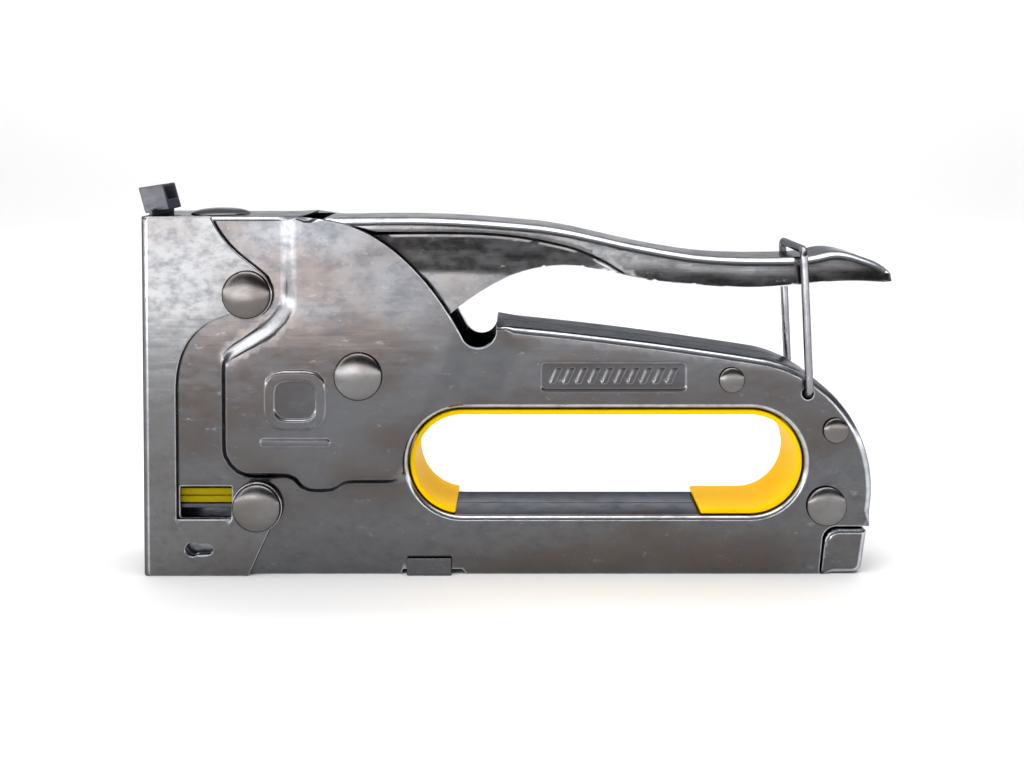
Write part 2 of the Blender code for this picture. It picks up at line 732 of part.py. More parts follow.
def build_lever():
    """A pressed channel: rounded hand part, and two cheeks that run down to the pivot."""
    top, hand, web = lever_lines()
    xs = [point[0] for point in top]
    outer = bmesh.new()
    rings = [
        lever_ring(x, z, min(height_at(hand, x), z - 0.0004), LEVER_HALF_WIDTH,
                   min(LEVER_EDGE_RADIUS, (z - height_at(hand, x)) / 2 + 0.0001))
        for x, z in top
    ]
    add_loft(outer, rings)
    lever = object_from("lever", outer)
    inner = bmesh.new()
    hollow = [x for x in xs if x < xs[-1] - 0.0040]
    hollow[0] -= 0.002
    add_loft(inner, [
        lever_ring(x, height_at(top, max(x, xs[0])) - LEVER_SHEET, height_at(hand, max(x, xs[0])) - 0.003,
                   LEVER_HALF_WIDTH - LEVER_SHEET, 0.0008)
        for x in hollow
    ])
    cut(lever, object_from("lever_inside", inner))

    front = NOSE_X + ARCH_START_SETBACK + 0.0012
    eye = LARGE_HEAD + 0.0036
    cheek = [(front, BODY_TOP_Z - 0.0012)]
    cheek += [(ARM_PIN[0] - 0.0042, ARM_PIN[1] + 0.0020)]
    cheek += arc((ARM_PIN[0] - 0.0007, ARM_PIN[1] - 0.0008), 0.0036, 170, 220, 4)
    cheek += arc(LEVER_PIVOT, eye, 215, 345, 10)
    cheek += web
    cheek += [(web[-1][0], height_at(top, web[-1][0]) - 0.0008)]
    cheek += [(x, z - 0.0008) for x, z in reversed(top) if front + 0.002 < x < web[-1][0] - 0.002]
    for side in (-1, 1):
        plate = prism(f"lever_cheek_{side}", cheek, side * (CHEEK_HALF_WIDTH - LEVER_SHEET),
                      side * CHEEK_HALF_WIDTH)
        join(lever, plate)
    bores = bmesh.new()
    reach = LEVER_HALF_WIDTH + 0.002
    add_prism(bores, circle(LEVER_PIVOT, LARGE_SHANK + GAP), -reach, reach)
    add_prism(bores, circle(ARM_PIN, ARM_PIN_RADIUS + GAP, 14), -reach, reach)
    cut(lever, object_from("lever_bores", bores))
    return nickel(lever)


def build_lift_arm():
    """The hardened arm between the cheeks that raises the striker, and its pin."""
    tip_x = PIVOT_X - LIFT_ARM_REACH
    outline = arc(LEVER_PIVOT, LIFT_ARM_EYE, -120, 75, 14)
    outline += [(ARM_PIN[0] - 0.0030, ARM_PIN[1] + 0.0042), (tip_x + 0.0030, PIVOT_Z + 0.0098)]
    outline += [(tip_x, PIVOT_Z + 0.0086), (tip_x, PIVOT_Z + 0.0060), (tip_x + 0.0040, PIVOT_Z + 0.0048)]
    arm = prism("lift_arm", outline, -LIFT_ARM_HALF_WIDTH, LIFT_ARM_HALF_WIDTH)
    bores = bmesh.new()
    add_prism(bores, circle(LEVER_PIVOT, LARGE_SHANK + GAP), -0.01, 0.01)
    add_prism(bores, circle(ARM_PIN, ARM_PIN_RADIUS + GAP, 14), -0.01, 0.01)
    cut(arm, object_from("arm_bores", bores))
    dark_steel(arm)
    pin = prism("lift_arm_pin", circle(ARM_PIN, ARM_PIN_RADIUS, 14), -CHEEK_HALF_WIDTH, CHEEK_HALF_WIDTH)
    zinc(pin)
    return arm, pin


def build_return_spring():
    """A torsion coil on the pivot with one leg on the arm pin's side and one on the lever's web."""
    first = -(LIFT_ARM_HALF_WIDTH + GAP + RETURN_WIRE / 2)
    width = CHEEK_HALF_WIDTH - LEVER_SHEET - LIFT_ARM_HALF_WIDTH - 2 * GAP - RETURN_WIRE
    radius = RETURN_COIL_RADIUS
    steps = 14 * RETURN_TURNS
    start, sweep = math.radians(-90), math.tau * RETURN_TURNS + math.radians(130)
    coil = []
    for i in range(steps + 1):
        angle = start + sweep * i / steps
        coil.append((PIVOT_X + radius * math.cos(angle), first - width * i / steps,
                     PIVOT_Z + radius * math.sin(angle)))
    lead = Vector(coil[0]) + Vector((-0.0110, 0, 0))
    end = start + sweep
    trail = Vector(coil[-1]) + Vector((-math.sin(end), 0, math.cos(end))) * 0.0090
    points = [tuple(lead), *coil, tuple(trail)]
    return spring_steel(wire("lever_return_spring", points, RETURN_WIRE, 1))


def build_pivot_sleeve():
    half = CHEEK_HALF_WIDTH - LEVER_SHEET - GAP
    return sleeve("pivot_sleeve", LEVER_PIVOT, LARGE_SHANK, LIFT_ARM_HALF_WIDTH + GAP, half)


def build_bail():
    """The wire lock bail: two legs hooked into the body and a crossbar over the lever."""
    leg = HALF_WIDTH + BAIL_SIDE_GAP + BAIL_WIRE / 2
    top_x = BAIL_X - BAIL_FORWARD
    bend = BAIL_BEND
    foot = [(BAIL_X, BAIL_END_HALF, BAIL_Z)]
    for i in range(5):
        a = math.radians(90 * i / 4)
        foot.append((BAIL_X, leg - bend + bend * math.sin(a), BAIL_Z + bend - bend * math.cos(a)))
    crown = []
    for i in range(5):
        a = math.radians(90 * i / 4)
        crown.append((top_x, leg - bend + bend * math.cos(a), BAIL_TOP_Z - bend + bend * math.sin(a)))
    right = foot + crown
    left = [(x, -y, z) for x, y, z in reversed(right)]
    return nickel(wire("bail", right + left, BAIL_WIRE, 2))


# Striker group


def helix(centre, radius, start, end, turns, steps, axis):
    """Points of a coil along Z (axis 2) or X (axis 0)."""
    points = []
    for i in range(turns * steps + 1):
        angle = math.tau * i / steps
        along = start + (end - start) * i / (turns * steps)
        a, b = radius * math.cos(angle), radius * math.sin(angle)
        if axis == 2:
            points.append((centre[0] + a, centre[1] + b, along))
        else:
            points.append((along, centre[0] + a, centre[1] + b))
    return points


def build_power_spring():
    low = CARRIER_TOP_Z + GAP + SPRING_WIRE / 2
    high = CAP_SEAT_Z - GAP - SPRING_WIRE / 2
    points = helix((SPRING_X, 0), SPRING_RADIUS, low, high, SPRING_TURNS, 12, 2)
    spring_steel(wire("power_spring", points, SPRING_WIRE, 1))


def build_spring_cap():
    """A turned cap: its dome stands through the top of the body and its boss centres the spring."""
    lip = CAP_DOME_RADIUS + GAP + CAP_LIP
    lip_top = CAP_SEAT_Z + CAP_LIP_HEIGHT
    dome = [(CAP_DOME_RADIUS * math.cos(a), BODY_TOP_Z + CAP_DOME_RISE * math.sin(a))
            for a in [math.radians(18 * i) for i in range(5)]]
    profile = [(0, CAP_SEAT_Z - 0.0030), (CAP_BOSS, CAP_SEAT_Z - 0.0030), (CAP_BOSS, CAP_SEAT_Z),
               (lip, CAP_SEAT_Z), (lip, lip_top), (CAP_DOME_RADIUS, lip_top)]
    profile += dome + [(0, BODY_TOP_Z + CAP_DOME_RISE)]
    nickel(turned("spring_cap", profile, (SPRING_X, 0, 0), (0, 0, 1), 24))


def build_striker():
    """The blade that drives the staple, and the carrier that the spring pushes and the arm lifts."""
    half = CARRIER_HALF_WIDTH
    middle = (CARRIER_FOOT_Z + CARRIER_TOP_Z) / 2
    blade = box("striker_blade", BLADE_X, BLADE_BACK_X, half, BLADE_FOOT_Z, BLADE_TOP_Z)
    cut(blade, box("blade_window", BLADE_X - 0.001, BLADE_BACK_X + 0.001, 0.0020 + GAP,
                   middle - 0.0015 - GAP, middle + 0.0015 + GAP))
    spring_steel(blade)

    front = BLADE_BACK_X + GAP
    rear = LIFT_PLATE_X + LIFT_PLATE
    outline = [(front, CARRIER_FOOT_Z), (rear, CARRIER_FOOT_Z), (rear, LIFT_PLATE_TOP_Z),
               (LIFT_PLATE_X, LIFT_PLATE_TOP_Z), (LIFT_PLATE_X, CARRIER_TOP_Z), (front, CARRIER_TOP_Z)]
    carrier = prism("striker_carrier", outline, -half, half)
    tongue = box("carrier_tongue", BLADE_X, front + 0.001, 0.0020, middle - 0.0015, middle + 0.0015)
    join(carrier, tongue)
    cut(carrier, box("lift_window", LIFT_PLATE_X - 0.001, rear + 0.001, LIFT_ARM_HALF_WIDTH + 2 * GAP,
                     CARRIER_TOP_Z + 0.0060, LIFT_PLATE_TOP_Z - 0.0020))
    dark_steel(carrier)


# Magazine


def build_magazine_channel():
    """The fixed channel over the staples; its roof reaches both body halves."""
    rear = CHANNEL_REAR_X
    roof = box("magazine_channel", MAGAZINE_FRONT_X, rear, INNER_HALF - GAP, CHANNEL_INNER_Z, CHANNEL_TOP_Z)
    outer = STAPLE_OUTSIDE_HALF + CHANNEL_WALL
    for side in (-1, 1):
        wall = prism(f"channel_wall_{side}",
                     rectangle(MAGAZINE_FRONT_X, rear, MAGAZINE_FOOT_Z, CHANNEL_INNER_Z + SHEET / 2),
                     side * STAPLE_OUTSIDE_HALF, side * outer)
        join(roof, wall)
    zinc(roof)


def build_magazine_rail():
    """The sliding rail that the staples straddle: a channel, open below, slotted along its top."""
    front = MAGAZINE_FRONT_X + RAIL_SETBACK
    rear = CAP_HOLLOW_REAR_X - GAP
    inner = STAPLE_INSIDE_HALF - RAIL_WALL
    rail = box("magazine_rail", front, rear, STAPLE_INSIDE_HALF, MAGAZINE_FOOT_Z, RAIL_TOP_Z)
    under = RAIL_TOP_Z - RAIL_WALL
    cut(rail, box("rail_inside", front + RAIL_WALL, BULKHEAD_X, inner, -0.001, under))
    cut(rail, box("rail_tail_inside", BULKHEAD_X + RAIL_WALL, rear + 0.001, inner, -0.001, under))
    cut(rail, box("rail_slot", front + 0.0060, BULKHEAD_X - 0.0040, SLOT_HALF_WIDTH, under - 0.001,
                  RAIL_TOP_Z + 0.001))
    bore = turned("rod_bores", [(0, 0.09), (ROD_RADIUS + GAP, 0.09), (ROD_RADIUS + GAP, 0), (0, 0)],
                  (BULKHEAD_X - 0.0030, 0, ROD_Z), (1, 0, 0), 12)
    cut(rail, bore)
    zinc(rail)

    rod_front = front + RAIL_WALL + GAP
    rod_rear = BULKHEAD_X + RAIL_WALL + 0.0010
    rod = turned("pusher_rod", [(0, rod_rear - rod_front), (ROD_RADIUS, rod_rear - rod_front),
                                (ROD_RADIUS, 0), (0, 0)],
                 (rod_front, 0, ROD_Z), (1, 0, 0), 12)
    spring_steel(rod)


def build_pusher():
    """The saddle that pushes the staples forward; its tongue hangs through the rail's slot."""
    front = MAGAZINE_FRONT_X + PUSHER_SETBACK
    rear = front + PUSHER_LENGTH
    foot = RAIL_TOP_Z + GAP
    top = foot + PUSHER_SHEET
    inner = STAPLE_INSIDE_HALF + GAP
    outer = inner + PUSHER_SHEET
    tongue_front = rear - 0.0022
    pusher = box("staple_pusher", front, rear, outer, PUSHER_FOOT_Z, top)
    cut(pusher, box("pusher_inside", front - 0.001, rear + 0.001, inner, PUSHER_FOOT_Z - 0.001, foot))
    join(pusher, box("pusher_tongue", tongue_front, rear, SLOT_HALF_WIDTH - GAP, 0.0030, top - 0.0001))
    cut(pusher, turned("tongue_bore", [(0, 0.01), (ROD_RADIUS + GAP, 0.01), (ROD_RADIUS + GAP, 0), (0, 0)],
                       (tongue_front - 0.002, 0, ROD_Z), (1, 0, 0), 12))
    zinc(pusher)

    low = rear + GAP + PUSHER_WIRE / 2
    high = BULKHEAD_X - GAP - PUSHER_WIRE / 2
    points = helix((0, ROD_Z), PUSHER_COIL_RADIUS, low, high, PUSHER_TURNS, 7, 0)
    spring_steel(wire("pusher_spring", points, PUSHER_WIRE, 0))


def build_tail_cap():
    """The pull cap at the tail, fixed to the rail, with the leaf that holds the rail shut."""
    front, rear = TAIL_CAP_X, TAIL_CAP_REAR_X
    top = CAP_CUT_Z - CAP_GAP
    radius = CAP_CUT_RADIUS
    outline = [(front, 0)]
    outline += arc((rear - CAP_CORNER - CAP_FOOT_STEP, CAP_CORNER), CAP_CORNER, -90, -8, 6)
    outline += [(rear, top)]
    outline += arc((front + radius + CAP_SHOULDER, top - radius), radius, 90, 180, 6)
    cap = prism("tail_cap", outline, -HALF_WIDTH, HALF_WIDTH)
    cut(cap, box("tail_cap_inside", front - 0.002, CAP_HOLLOW_REAR_X, INNER_HALF,
                 SHEET - 0.0002, top - SHEET))
    nickel(cap)

    leaf_z = RAIL_TOP_Z - RAIL_WALL - GAP
    leaf_front = BULKHEAD_X + RAIL_WALL + 0.0016
    line = [(leaf_front, leaf_z), (leaf_front + 0.0090, leaf_z), (leaf_front + 0.0112, leaf_z - 0.0022),
            (leaf_front + 0.0160, leaf_z - 0.0022), (leaf_front + 0.0172, leaf_z - 0.0014)]
    outline = line + list(reversed(beside(line, CATCH_LEAF)))
    spring_steel(prism("magazine_catch", outline, -0.0020, 0.0020))


# Liner and clip


def build_grip_liner():
    """The yellow liner of the finger hole, open along the middle of the floor."""

    def path(inset, steps):
        radius = HOLE_RADIUS - inset
        left = (HOLE_FRONT_X + HOLE_RADIUS, HOLE_MID_Z)
        right = (HOLE_REAR_X - HOLE_RADIUS, HOLE_MID_Z)
        floor = HOLE_MID_Z - radius
        points = arc(left, radius, LINER_FRONT_FOOT_DEG, 90, steps)
        points += arc(right, radius, 90, -90, steps)
        points.append((HOLE_REAR_X - LINER_REAR_FOOT, floor))
        return points

    outline = path(GAP, 16) + list(reversed(path(GAP + LINER_WALL, 16)))
    half = HALF_WIDTH - LINER_INSET
    yellow(prism("grip_liner", outline, -half, half))


def build_bottom_clip():
    """A strap under both halves, let into their bottom edges and turned up outside."""
    outer = HALF_WIDTH + GAP + CLIP_SHEET
    rear = CLIP_X + CLIP_LENGTH
    clip = box("bottom_clip", CLIP_X, rear, outer, 0, CLIP_HEIGHT)
    cut(clip, box("clip_inside", CLIP_X - 0.001, rear + 0.001, HALF_WIDTH + GAP, CLIP_SHEET,
                  CLIP_HEIGHT + 0.001))
    dark_steel(clip)


def build():
    for old in list(bpy.data.objects):
        bpy.data.objects.remove(old)
    build_shells()
    build_front_cover()
    build_nose_guide_plate()
    build_bumper()
    build_spacers()
    build_power_spring()
    build_spring_cap()
    build_striker()
    build_magazine_channel()
    build_magazine_rail()
    build_pusher()
    build_tail_cap()
    build_grip_liner()
    build_bottom_clip()
    build_rivets()
    build_return_spring()
    build_pivot_sleeve()
    axis_empty("lever_axis", PIVOT_X, PIVOT_Z, [build_lever(), *build_lift_arm()])
    axis_empty("bail_axis", BAIL_X, BAIL_Z, [build_bail()])


build()
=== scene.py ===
import math

import bmesh
import bpy
import numpy as np
from mathutils import Matrix, Vector
from mathutils.geometry import delaunay_2d_cdt


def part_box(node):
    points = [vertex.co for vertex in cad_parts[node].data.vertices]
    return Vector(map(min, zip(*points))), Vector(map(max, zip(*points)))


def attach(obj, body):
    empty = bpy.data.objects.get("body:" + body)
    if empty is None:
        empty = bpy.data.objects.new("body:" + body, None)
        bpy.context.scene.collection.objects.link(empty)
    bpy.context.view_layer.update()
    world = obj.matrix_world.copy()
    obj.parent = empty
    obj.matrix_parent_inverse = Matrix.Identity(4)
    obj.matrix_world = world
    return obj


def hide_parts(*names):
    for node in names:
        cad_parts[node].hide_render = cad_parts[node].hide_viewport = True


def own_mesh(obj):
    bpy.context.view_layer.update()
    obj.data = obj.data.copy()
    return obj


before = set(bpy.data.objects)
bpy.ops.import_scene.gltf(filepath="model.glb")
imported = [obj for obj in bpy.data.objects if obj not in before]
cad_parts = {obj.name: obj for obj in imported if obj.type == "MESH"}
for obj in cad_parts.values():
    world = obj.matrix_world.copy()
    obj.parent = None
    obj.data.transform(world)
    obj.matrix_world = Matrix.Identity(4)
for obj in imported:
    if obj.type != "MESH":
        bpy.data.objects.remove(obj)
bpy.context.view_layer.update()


# ---------------------------------------------------------------- Body halves
# Two mirror-image pressings of 1 mm steel, nickel plated, that meet along the middle plane. Their
# nose, top, grip and tail edges are turned in over a die, the arch and the bottom are left as cut,
# and the raised middle panel is struck in the same press. Six rivets hold the halves together.


def rounded(points, radius, steps=4):
    """A polygon with each corner replaced by a small curve of the given reach."""
    out = []
    for i, here in enumerate(points):
        here = Vector(here)
        before = Vector(points[i - 1])
        after = Vector(points[(i + 1) % len(points)])
        into = min(radius, (here - before).length * 0.45)
        away = min(radius, (after - here).length * 0.45)
        start = here + (before - here).normalized() * into
        end = here + (after - here).normalized() * away
        for k in range(steps + 1):
            t = k / steps
            out.append(tuple(start * (1 - t) ** 2 + here * 2 * t * (1 - t) + end * t * t))
    return out


def arc(centre, radius, start, end, steps):
    """Points of a round stretch between two angles in degrees."""
    angles = np.radians(np.linspace(start, end, steps + 1))
    return [(centre[0] + radius * math.cos(a), centre[1] + radius * math.sin(a)) for a in angles]


def curve(p0, p1, p2, p3, steps):
    """Points of a cubic curve."""
    t = np.linspace(0, 1, steps + 1)[:, None]
    p0, p1, p2, p3 = map(np.array, (p0, p1, p2, p3))
    line = (1 - t) ** 3 * p0 + 3 * t * (1 - t) ** 2 * p1 + 3 * t * t * (1 - t) * p2 + t**3 * p3
    return [tuple(point) for point in line]


def through(points, steps):
    """A smooth line through the given points."""
    padded = [np.array(p) for p in points]
    padded = [2 * padded[0] - padded[1], *padded, 2 * padded[-1] - padded[-2]]
    line = [tuple(padded[1])]
    for a, b, c, d in zip(padded, padded[1:], padded[2:], padded[3:]):
        line += curve(b, b + (c - a) / 6, c - (d - b) / 6, c, steps)[1:]
    return line


def evened(points, pitch):
    """The same open line with a point about every pitch; its corners stay."""
    out = [points[0]]
    for (x0, z0), (x1, z1) in zip(points, points[1:]):
        length = math.hypot(x1 - x0, z1 - z0)
        if length < 1e-6:
            continue
        parts = max(1, round(length / pitch))
        out += [(x0 + (x1 - x0) * k / parts, z0 + (z1 - z0) * k / parts) for k in range(1, parts + 1)]
    return out


def inside(points, loop):
    """Which of the points lie in the closed loop."""
    x, z = points[:, 0], points[:, 1]
    hit = np.zeros(len(points), bool)
    loop = np.asarray(loop)
    for (x0, z0), (x1, z1) in zip(loop, np.roll(loop, -1, axis=0)):
        if z0 != z1:
            hit ^= ((z0 > z) != (z1 > z)) & (x < (x1 - x0) * (z - z0) / (z1 - z0) + x0)
    return hit


def distance(points, loop, closed=True):
    """How far each point is from the line."""
    loop = np.asarray(loop)
    ends = np.roll(loop, -1, axis=0) if closed else loop[1:]
    nearest = np.full(len(points), 1e9)
    for a, b in zip(loop, ends):
        along = b - a
        t = np.clip(((points - a) @ along) / max(along @ along, 1e-18), 0, 1)
        nearest = np.minimum(nearest, np.linalg.norm(points - a - t[:, None] * along, axis=1))
    return nearest


def stepped(points, foot, crest, rise):
    """Height of a pressed step, 0 outside its foot and rise inside its crest, and how steep it is."""
    to_foot, to_crest = distance(points, foot), distance(points, crest)
    t = to_foot / np.maximum(to_foot + to_crest, 1e-9)
    t = np.where(inside(points, foot), np.where(inside(points, crest), 1.0, t), 0.0)
    steep = np.clip(abs(rise) / np.maximum(to_foot + to_crest, 1e-9) / 0.4, 0, 1) ** 2
    return rise * t * t * (3 - 2 * t), steep


# Steep slopes are lightened as wear and a painted highlight, most of all around this spot on the sloping front edge
# of the raised panel.
RUB_AND_HIGHLIGHT_SPOT = np.array((-0.0590, 0.0555))
RUB_AND_HIGHLIGHT_REACH = 0.009
COLLAR_BEND = 0.0012
EDGE_SUPPORT = 0.0003
WEAR_AND_HIGHLIGHT_REACH = 0.0002
JOIN = 2e-6


def drawn_side(edge, bends, half, steps_in=(), holes=(), pitch=0.0016, seam=0.0, relief=None,
               side=-1, wrap=0.0, collar=None, guides=()):
    """One side of a pressing as a bmesh: the flat, its holes and steps, the bent edges and their flanges.
    bends holds the bend radius at each edge point, or None where the sheet is simply cut. With wrap,
    the straight front edge is carried round a bend of that radius to the middle plane. A collar is a
    hole whose edge is turned in to the middle plane, given as a loop for each amount that it grows.
    One attribute marks bends, steps and cut edges, which the finish lightens as wear and a painted highlight; the
    other marks what is pressed inwards, which the finish darkens as painted shade."""
    edge = np.array(edge)
    ahead, behind = np.roll(edge, -1, axis=0) - edge, edge - np.roll(edge, 1, axis=0)
    ahead /= np.linalg.norm(ahead, axis=1)[:, None]
    behind /= np.linalg.norm(behind, axis=1)[:, None]
    normal = np.stack([-(ahead[:, 1] + behind[:, 1]), ahead[:, 0] + behind[:, 0]], axis=1)
    normal /= np.linalg.norm(normal, axis=1)[:, None]
    square = -ahead[:, 1] * normal[:, 0] + ahead[:, 0] * normal[:, 1]
    normal /= np.maximum(square, 0.5)[:, None]
    radius = np.array([bend or 0.0 for bend in bends])
    turns = np.radians(np.linspace(0, 90, 7))
    inner = edge + normal * radius[:, None]
    if collar:
        holes = [*holes, collar(COLLAR_BEND)]

    def height(flat):
        total, slope, recess_shade = np.zeros(len(flat)), np.zeros(len(flat)), np.zeros(len(flat))
        for foot, crest, rise in steps_in:
            step, steep = stepped(flat, foot, crest, rise)
            total += step
            share = step / rise
            # Painted highlight on steep slopes, partly wear, strongest near the spot.
            rub = 0.35 + 0.65 * np.exp(-np.sum((flat - RUB_AND_HIGHLIGHT_SPOT) ** 2, axis=1) / RUB_AND_HIGHLIGHT_REACH**2)
            slope = np.maximum(slope, 4 * share * (1 - share) * steep * rub)
            # What is pressed inwards is marked for painted shade.
            if rise < 0:
                recess_shade += share
        return total + (relief(flat) if relief else 0), slope, recess_shade

    low, high = inner.min(axis=0), inner.max(axis=0)
    across, up = np.meshgrid(np.arange(low[0], high[0], pitch), np.arange(low[1], high[1], pitch * 0.87))
    across = across + (np.arange(len(across)) % 2)[:, None] * pitch / 2
    grid = np.stack([across.ravel(), up.ravel()], axis=1)
    loops = [inner, *map(np.array, holes)]
    keep = inside(grid, inner) & (distance(grid, inner) > pitch * 0.45)
    for hole in holes:
        keep &= ~inside(grid, hole) & (distance(grid, hole) > pitch * 0.3)
    lines, runs = [], []
    cut = np.array([bend is None for bend in bends])
    lines.append((edge + normal * EDGE_SUPPORT)[cut])
    for hole in holes:
        hole = np.array(hole)
        out = np.roll(hole, -1, axis=0) - np.roll(hole, 1, axis=0)
        out = np.stack([out[:, 1], -out[:, 0]], axis=1) / np.linalg.norm(out, axis=1)[:, None]
        ring = hole + out * EDGE_SUPPORT
        lines.append(ring[~inside(ring, hole)])
    for foot, crest, rise in steps_in:
        foot, crest = np.array(foot), np.array(crest)
        reach = np.linalg.norm(crest - foot, axis=1).max()
        for share in np.linspace(0, 1, 6) if reach > 0.002 else (-0.5, 0, 0.33, 0.67, 1, 1.5):
            line = foot * (1 - share) + crest * share
            line = np.array(evened([*line, line[0]], pitch * 0.8)[:-1])
            keep &= distance(grid, line) > pitch * 0.4
            good = inside(line, inner) & (distance(line, inner) > pitch * 0.25)
            for hole in holes:
                good &= ~inside(line, hole) & (distance(line, hole) > pitch * 0.25)
            lines.append(line[good])
            order = np.cumsum(good) - 1
            first = sum(len(group) for group in lines[:-1])
            runs += [(first + order[i - 1], first + order[i])
                     for i in range(1, len(line)) if good[i - 1] and good[i]]
    for line in guides:
        line = np.array(evened(line, pitch * 0.8))
        line = line[inside(line, inner) & (distance(line, inner) > pitch * 0.2)]
        keep &= distance(grid, line, False) > pitch * 0.4
        first = sum(len(group) for group in lines)
        runs += [(first + i - 1, first + i) for i in range(1, len(line))]
        lines.append(line)
    flat = np.concatenate([*loops, *lines, grid[keep]])
    edges, start = [], 0
    for loop in loops:
        edges += [(start + i, start + (i + 1) % len(loop)) for i in range(len(loop))]
        start += len(loop)
    edges += [(start + int(a), start + int(b)) for a, b in runs]
    mm = [Vector(point) for point in flat * 1000]
    found, _, faces, origins, _, _ = delaunay_2d_cdt(mm, edges, [], 0, 1e-6)
    found = np.array([tuple(v) for v in found]) / 1000
    centres = np.array([found[list(face)].mean(axis=0) for face in faces])
    good = inside(centres, inner)
    for hole in holes:
        good &= ~inside(centres, hole)
    place = {origin: i for i, group in enumerate(origins) for origin in group}

    bm = bmesh.new()
    rise, slope, recess_shade = height(found)
    wear_and_highlight_layer, recess_shade_layer = bm.verts.layers.float.new("wear_and_highlight"), bm.verts.layers.float.new("recess_shade")
    near_cut = np.full(len(found), 1.0)
    if cut.any():
        near_cut = np.minimum(near_cut, distance(found, edge) if cut.all() else
                              np.linalg.norm(found[:, None] - edge[cut][None], axis=2).min(axis=1))
    for hole in holes[:-1] if collar else holes:
        near_cut = np.minimum(near_cut, distance(found, hole))
    # Cut edges and steep slopes are marked for lightening: wear and a painted highlight.
    wear_and_highlight = np.maximum(slope, np.clip(1 - near_cut / WEAR_AND_HIGHLIGHT_REACH, 0, 1) * 0.8)
    flats = []
    for (x, z), h, wear_and_painted_light, low in zip(found, rise, wear_and_highlight, recess_shade):
        vert = bm.verts.new((x, side * (half + h), z))
        vert[wear_and_highlight_layer], vert[recess_shade_layer] = wear_and_painted_light, low
        flats.append(vert)
    rings = []
    for turn in turns[:-1]:
        ring = edge + normal * (radius * (1 - math.cos(turn)))[:, None]
        out = half + height(inner)[0] - radius + radius * math.sin(turn)
        rings.append([bm.verts.new((x, side * y, z)) for (x, z), y in zip(ring, out)])
        # Bends and cut edges are marked for lightening: wear and a painted highlight.
        for vert, bend in zip(rings[-1], bends):
            vert[wear_and_highlight_layer] = math.sin(turn) if bend else 0.8
    rings.append([flats[place[i]] for i in range(len(edge))])

    def face(*corners):
        if len(set(corners)) == len(corners):
            bm.faces.new(corners if side < 0 else corners[::-1])

    for triangle, wanted in zip(faces, good):
        if wanted:
            face(*[flats[i] for i in triangle])
    flange = [bm.verts.new((v.co.x, side * seam, v.co.z)) for v in rings[0]]
    for i in range(len(edge)):
        j = (i + 1) % len(edge)
        for near, far in zip(rings, rings[1:]):
            face(near[i], near[j], far[j], far[i])
        if bends[i] is not None and bends[j] is not None:
            face(flange[i], flange[j], rings[0][j], rings[0][i])
    if collar:
        start = sum(len(loop) for loop in loops[:-1])
        count = len(loops[-1])
        turned_in = [[flats[place[start + i]] for i in range(count)]]
        for turn in turns[::-1][1:]:
            ring = collar(COLLAR_BEND * (1 - math.cos(turn)))
            y = half - COLLAR_BEND + COLLAR_BEND * math.sin(turn)
            turned_in.append([bm.verts.new((x, side * y, z)) for x, z in ring])
            # The turned-in collar is marked the same way, for wear and a painted highlight.
            for vert in turned_in[-1]:
                vert[wear_and_highlight_layer] = math.sin(turn)
        turned_in.append([bm.verts.new((x, side * seam, z)) for x, z in collar(0.0)])
        for vert in turned_in[-1]:
            vert[wear_and_highlight_layer] = 0.35
        for near, far in zip(turned_in, turned_in[1:]):
            for i in range(count):
                j = (i + 1) % count
                face(near[i], near[j], far[j], far[i])
    if wrap:
        front = edge[:, 0].min()
        line = sorted((i for i in range(len(edge)) if edge[i, 0] < front + 1e-6), key=lambda i: -edge[i, 1])
        strips = [[rings[-1][i] for i in line]]
        for turn in turns[1:]:
            x, y = front - wrap * math.sin(turn), half - wrap + wrap * math.cos(turn)
            strips.append([bm.verts.new((x, side * y, edge[i, 1])) for i in line])
        strips.append([bm.verts.new((front - wrap, side * seam, edge[i, 1])) for i in line])
        for near, far in zip(strips, strips[1:]):
            for i in range(len(line) - 1):
                face(far[i], far[i + 1], near[i + 1], near[i])
    bmesh.ops.remove_doubles(bm, verts=bm.verts, dist=JOIN)
    bmesh.ops.dissolve_degenerate(bm, edges=bm.edges, dist=1e-7)
    bmesh.ops.delete(bm, geom=[v for v in bm.verts if not v.link_faces], context="VERTS")
    return bm


def made(name, bm):
    """A new object from a bmesh."""
    mesh = bpy.data.meshes.new(name)
    bm.to_mesh(mesh)
    bm.free()
    obj = bpy.data.objects.new(name, mesh)
    bpy.context.scene.collection.objects.link(obj)
    return obj


def settled(obj):
    """The object with its modifiers applied."""
    graph = bpy.context.evaluated_depsgraph_get()
    mesh = bpy.data.meshes.new_from_object(obj.evaluated_get(graph))
    obj.modifiers.clear()
    obj.data = mesh
    return obj


def sheet_metal(obj, thickness, burr=0.00018, angle=52):
    """Gives a surface its thickness, breaks its cut edges, and shades what is bent smooth."""
    wall = obj.modifiers.new("Thickness", "SOLIDIFY")
    wall.thickness = thickness
    wall.offset = -1
    wall.use_even_offset = True
    break_edges(obj, burr, angle)
    return settled(obj)


def break_edges(obj, width, angle=35, segments=2):
    """Small bevels on the sharp edges, shaded so that the flats stay flat."""
    obj.data.shade_smooth()
    bevel = obj.modifiers.new("Broken edges", "BEVEL")
    bevel.width = width
    bevel.segments = segments
    bevel.limit_method = "ANGLE"
    bevel.angle_limit = math.radians(angle)
    bevel.harden_normals = False
    normals = obj.modifiers.new("Even shading", "WEIGHTED_NORMAL")
    normals.keep_sharp = True


def fitted(obj, body, slot, material, *nodes):
    """Puts the finished piece on its body in place of its CAD nodes."""
    obj.data.materials.clear()
    obj.data.materials.append(material)
    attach(obj, body)
    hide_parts(*nodes)
    return obj


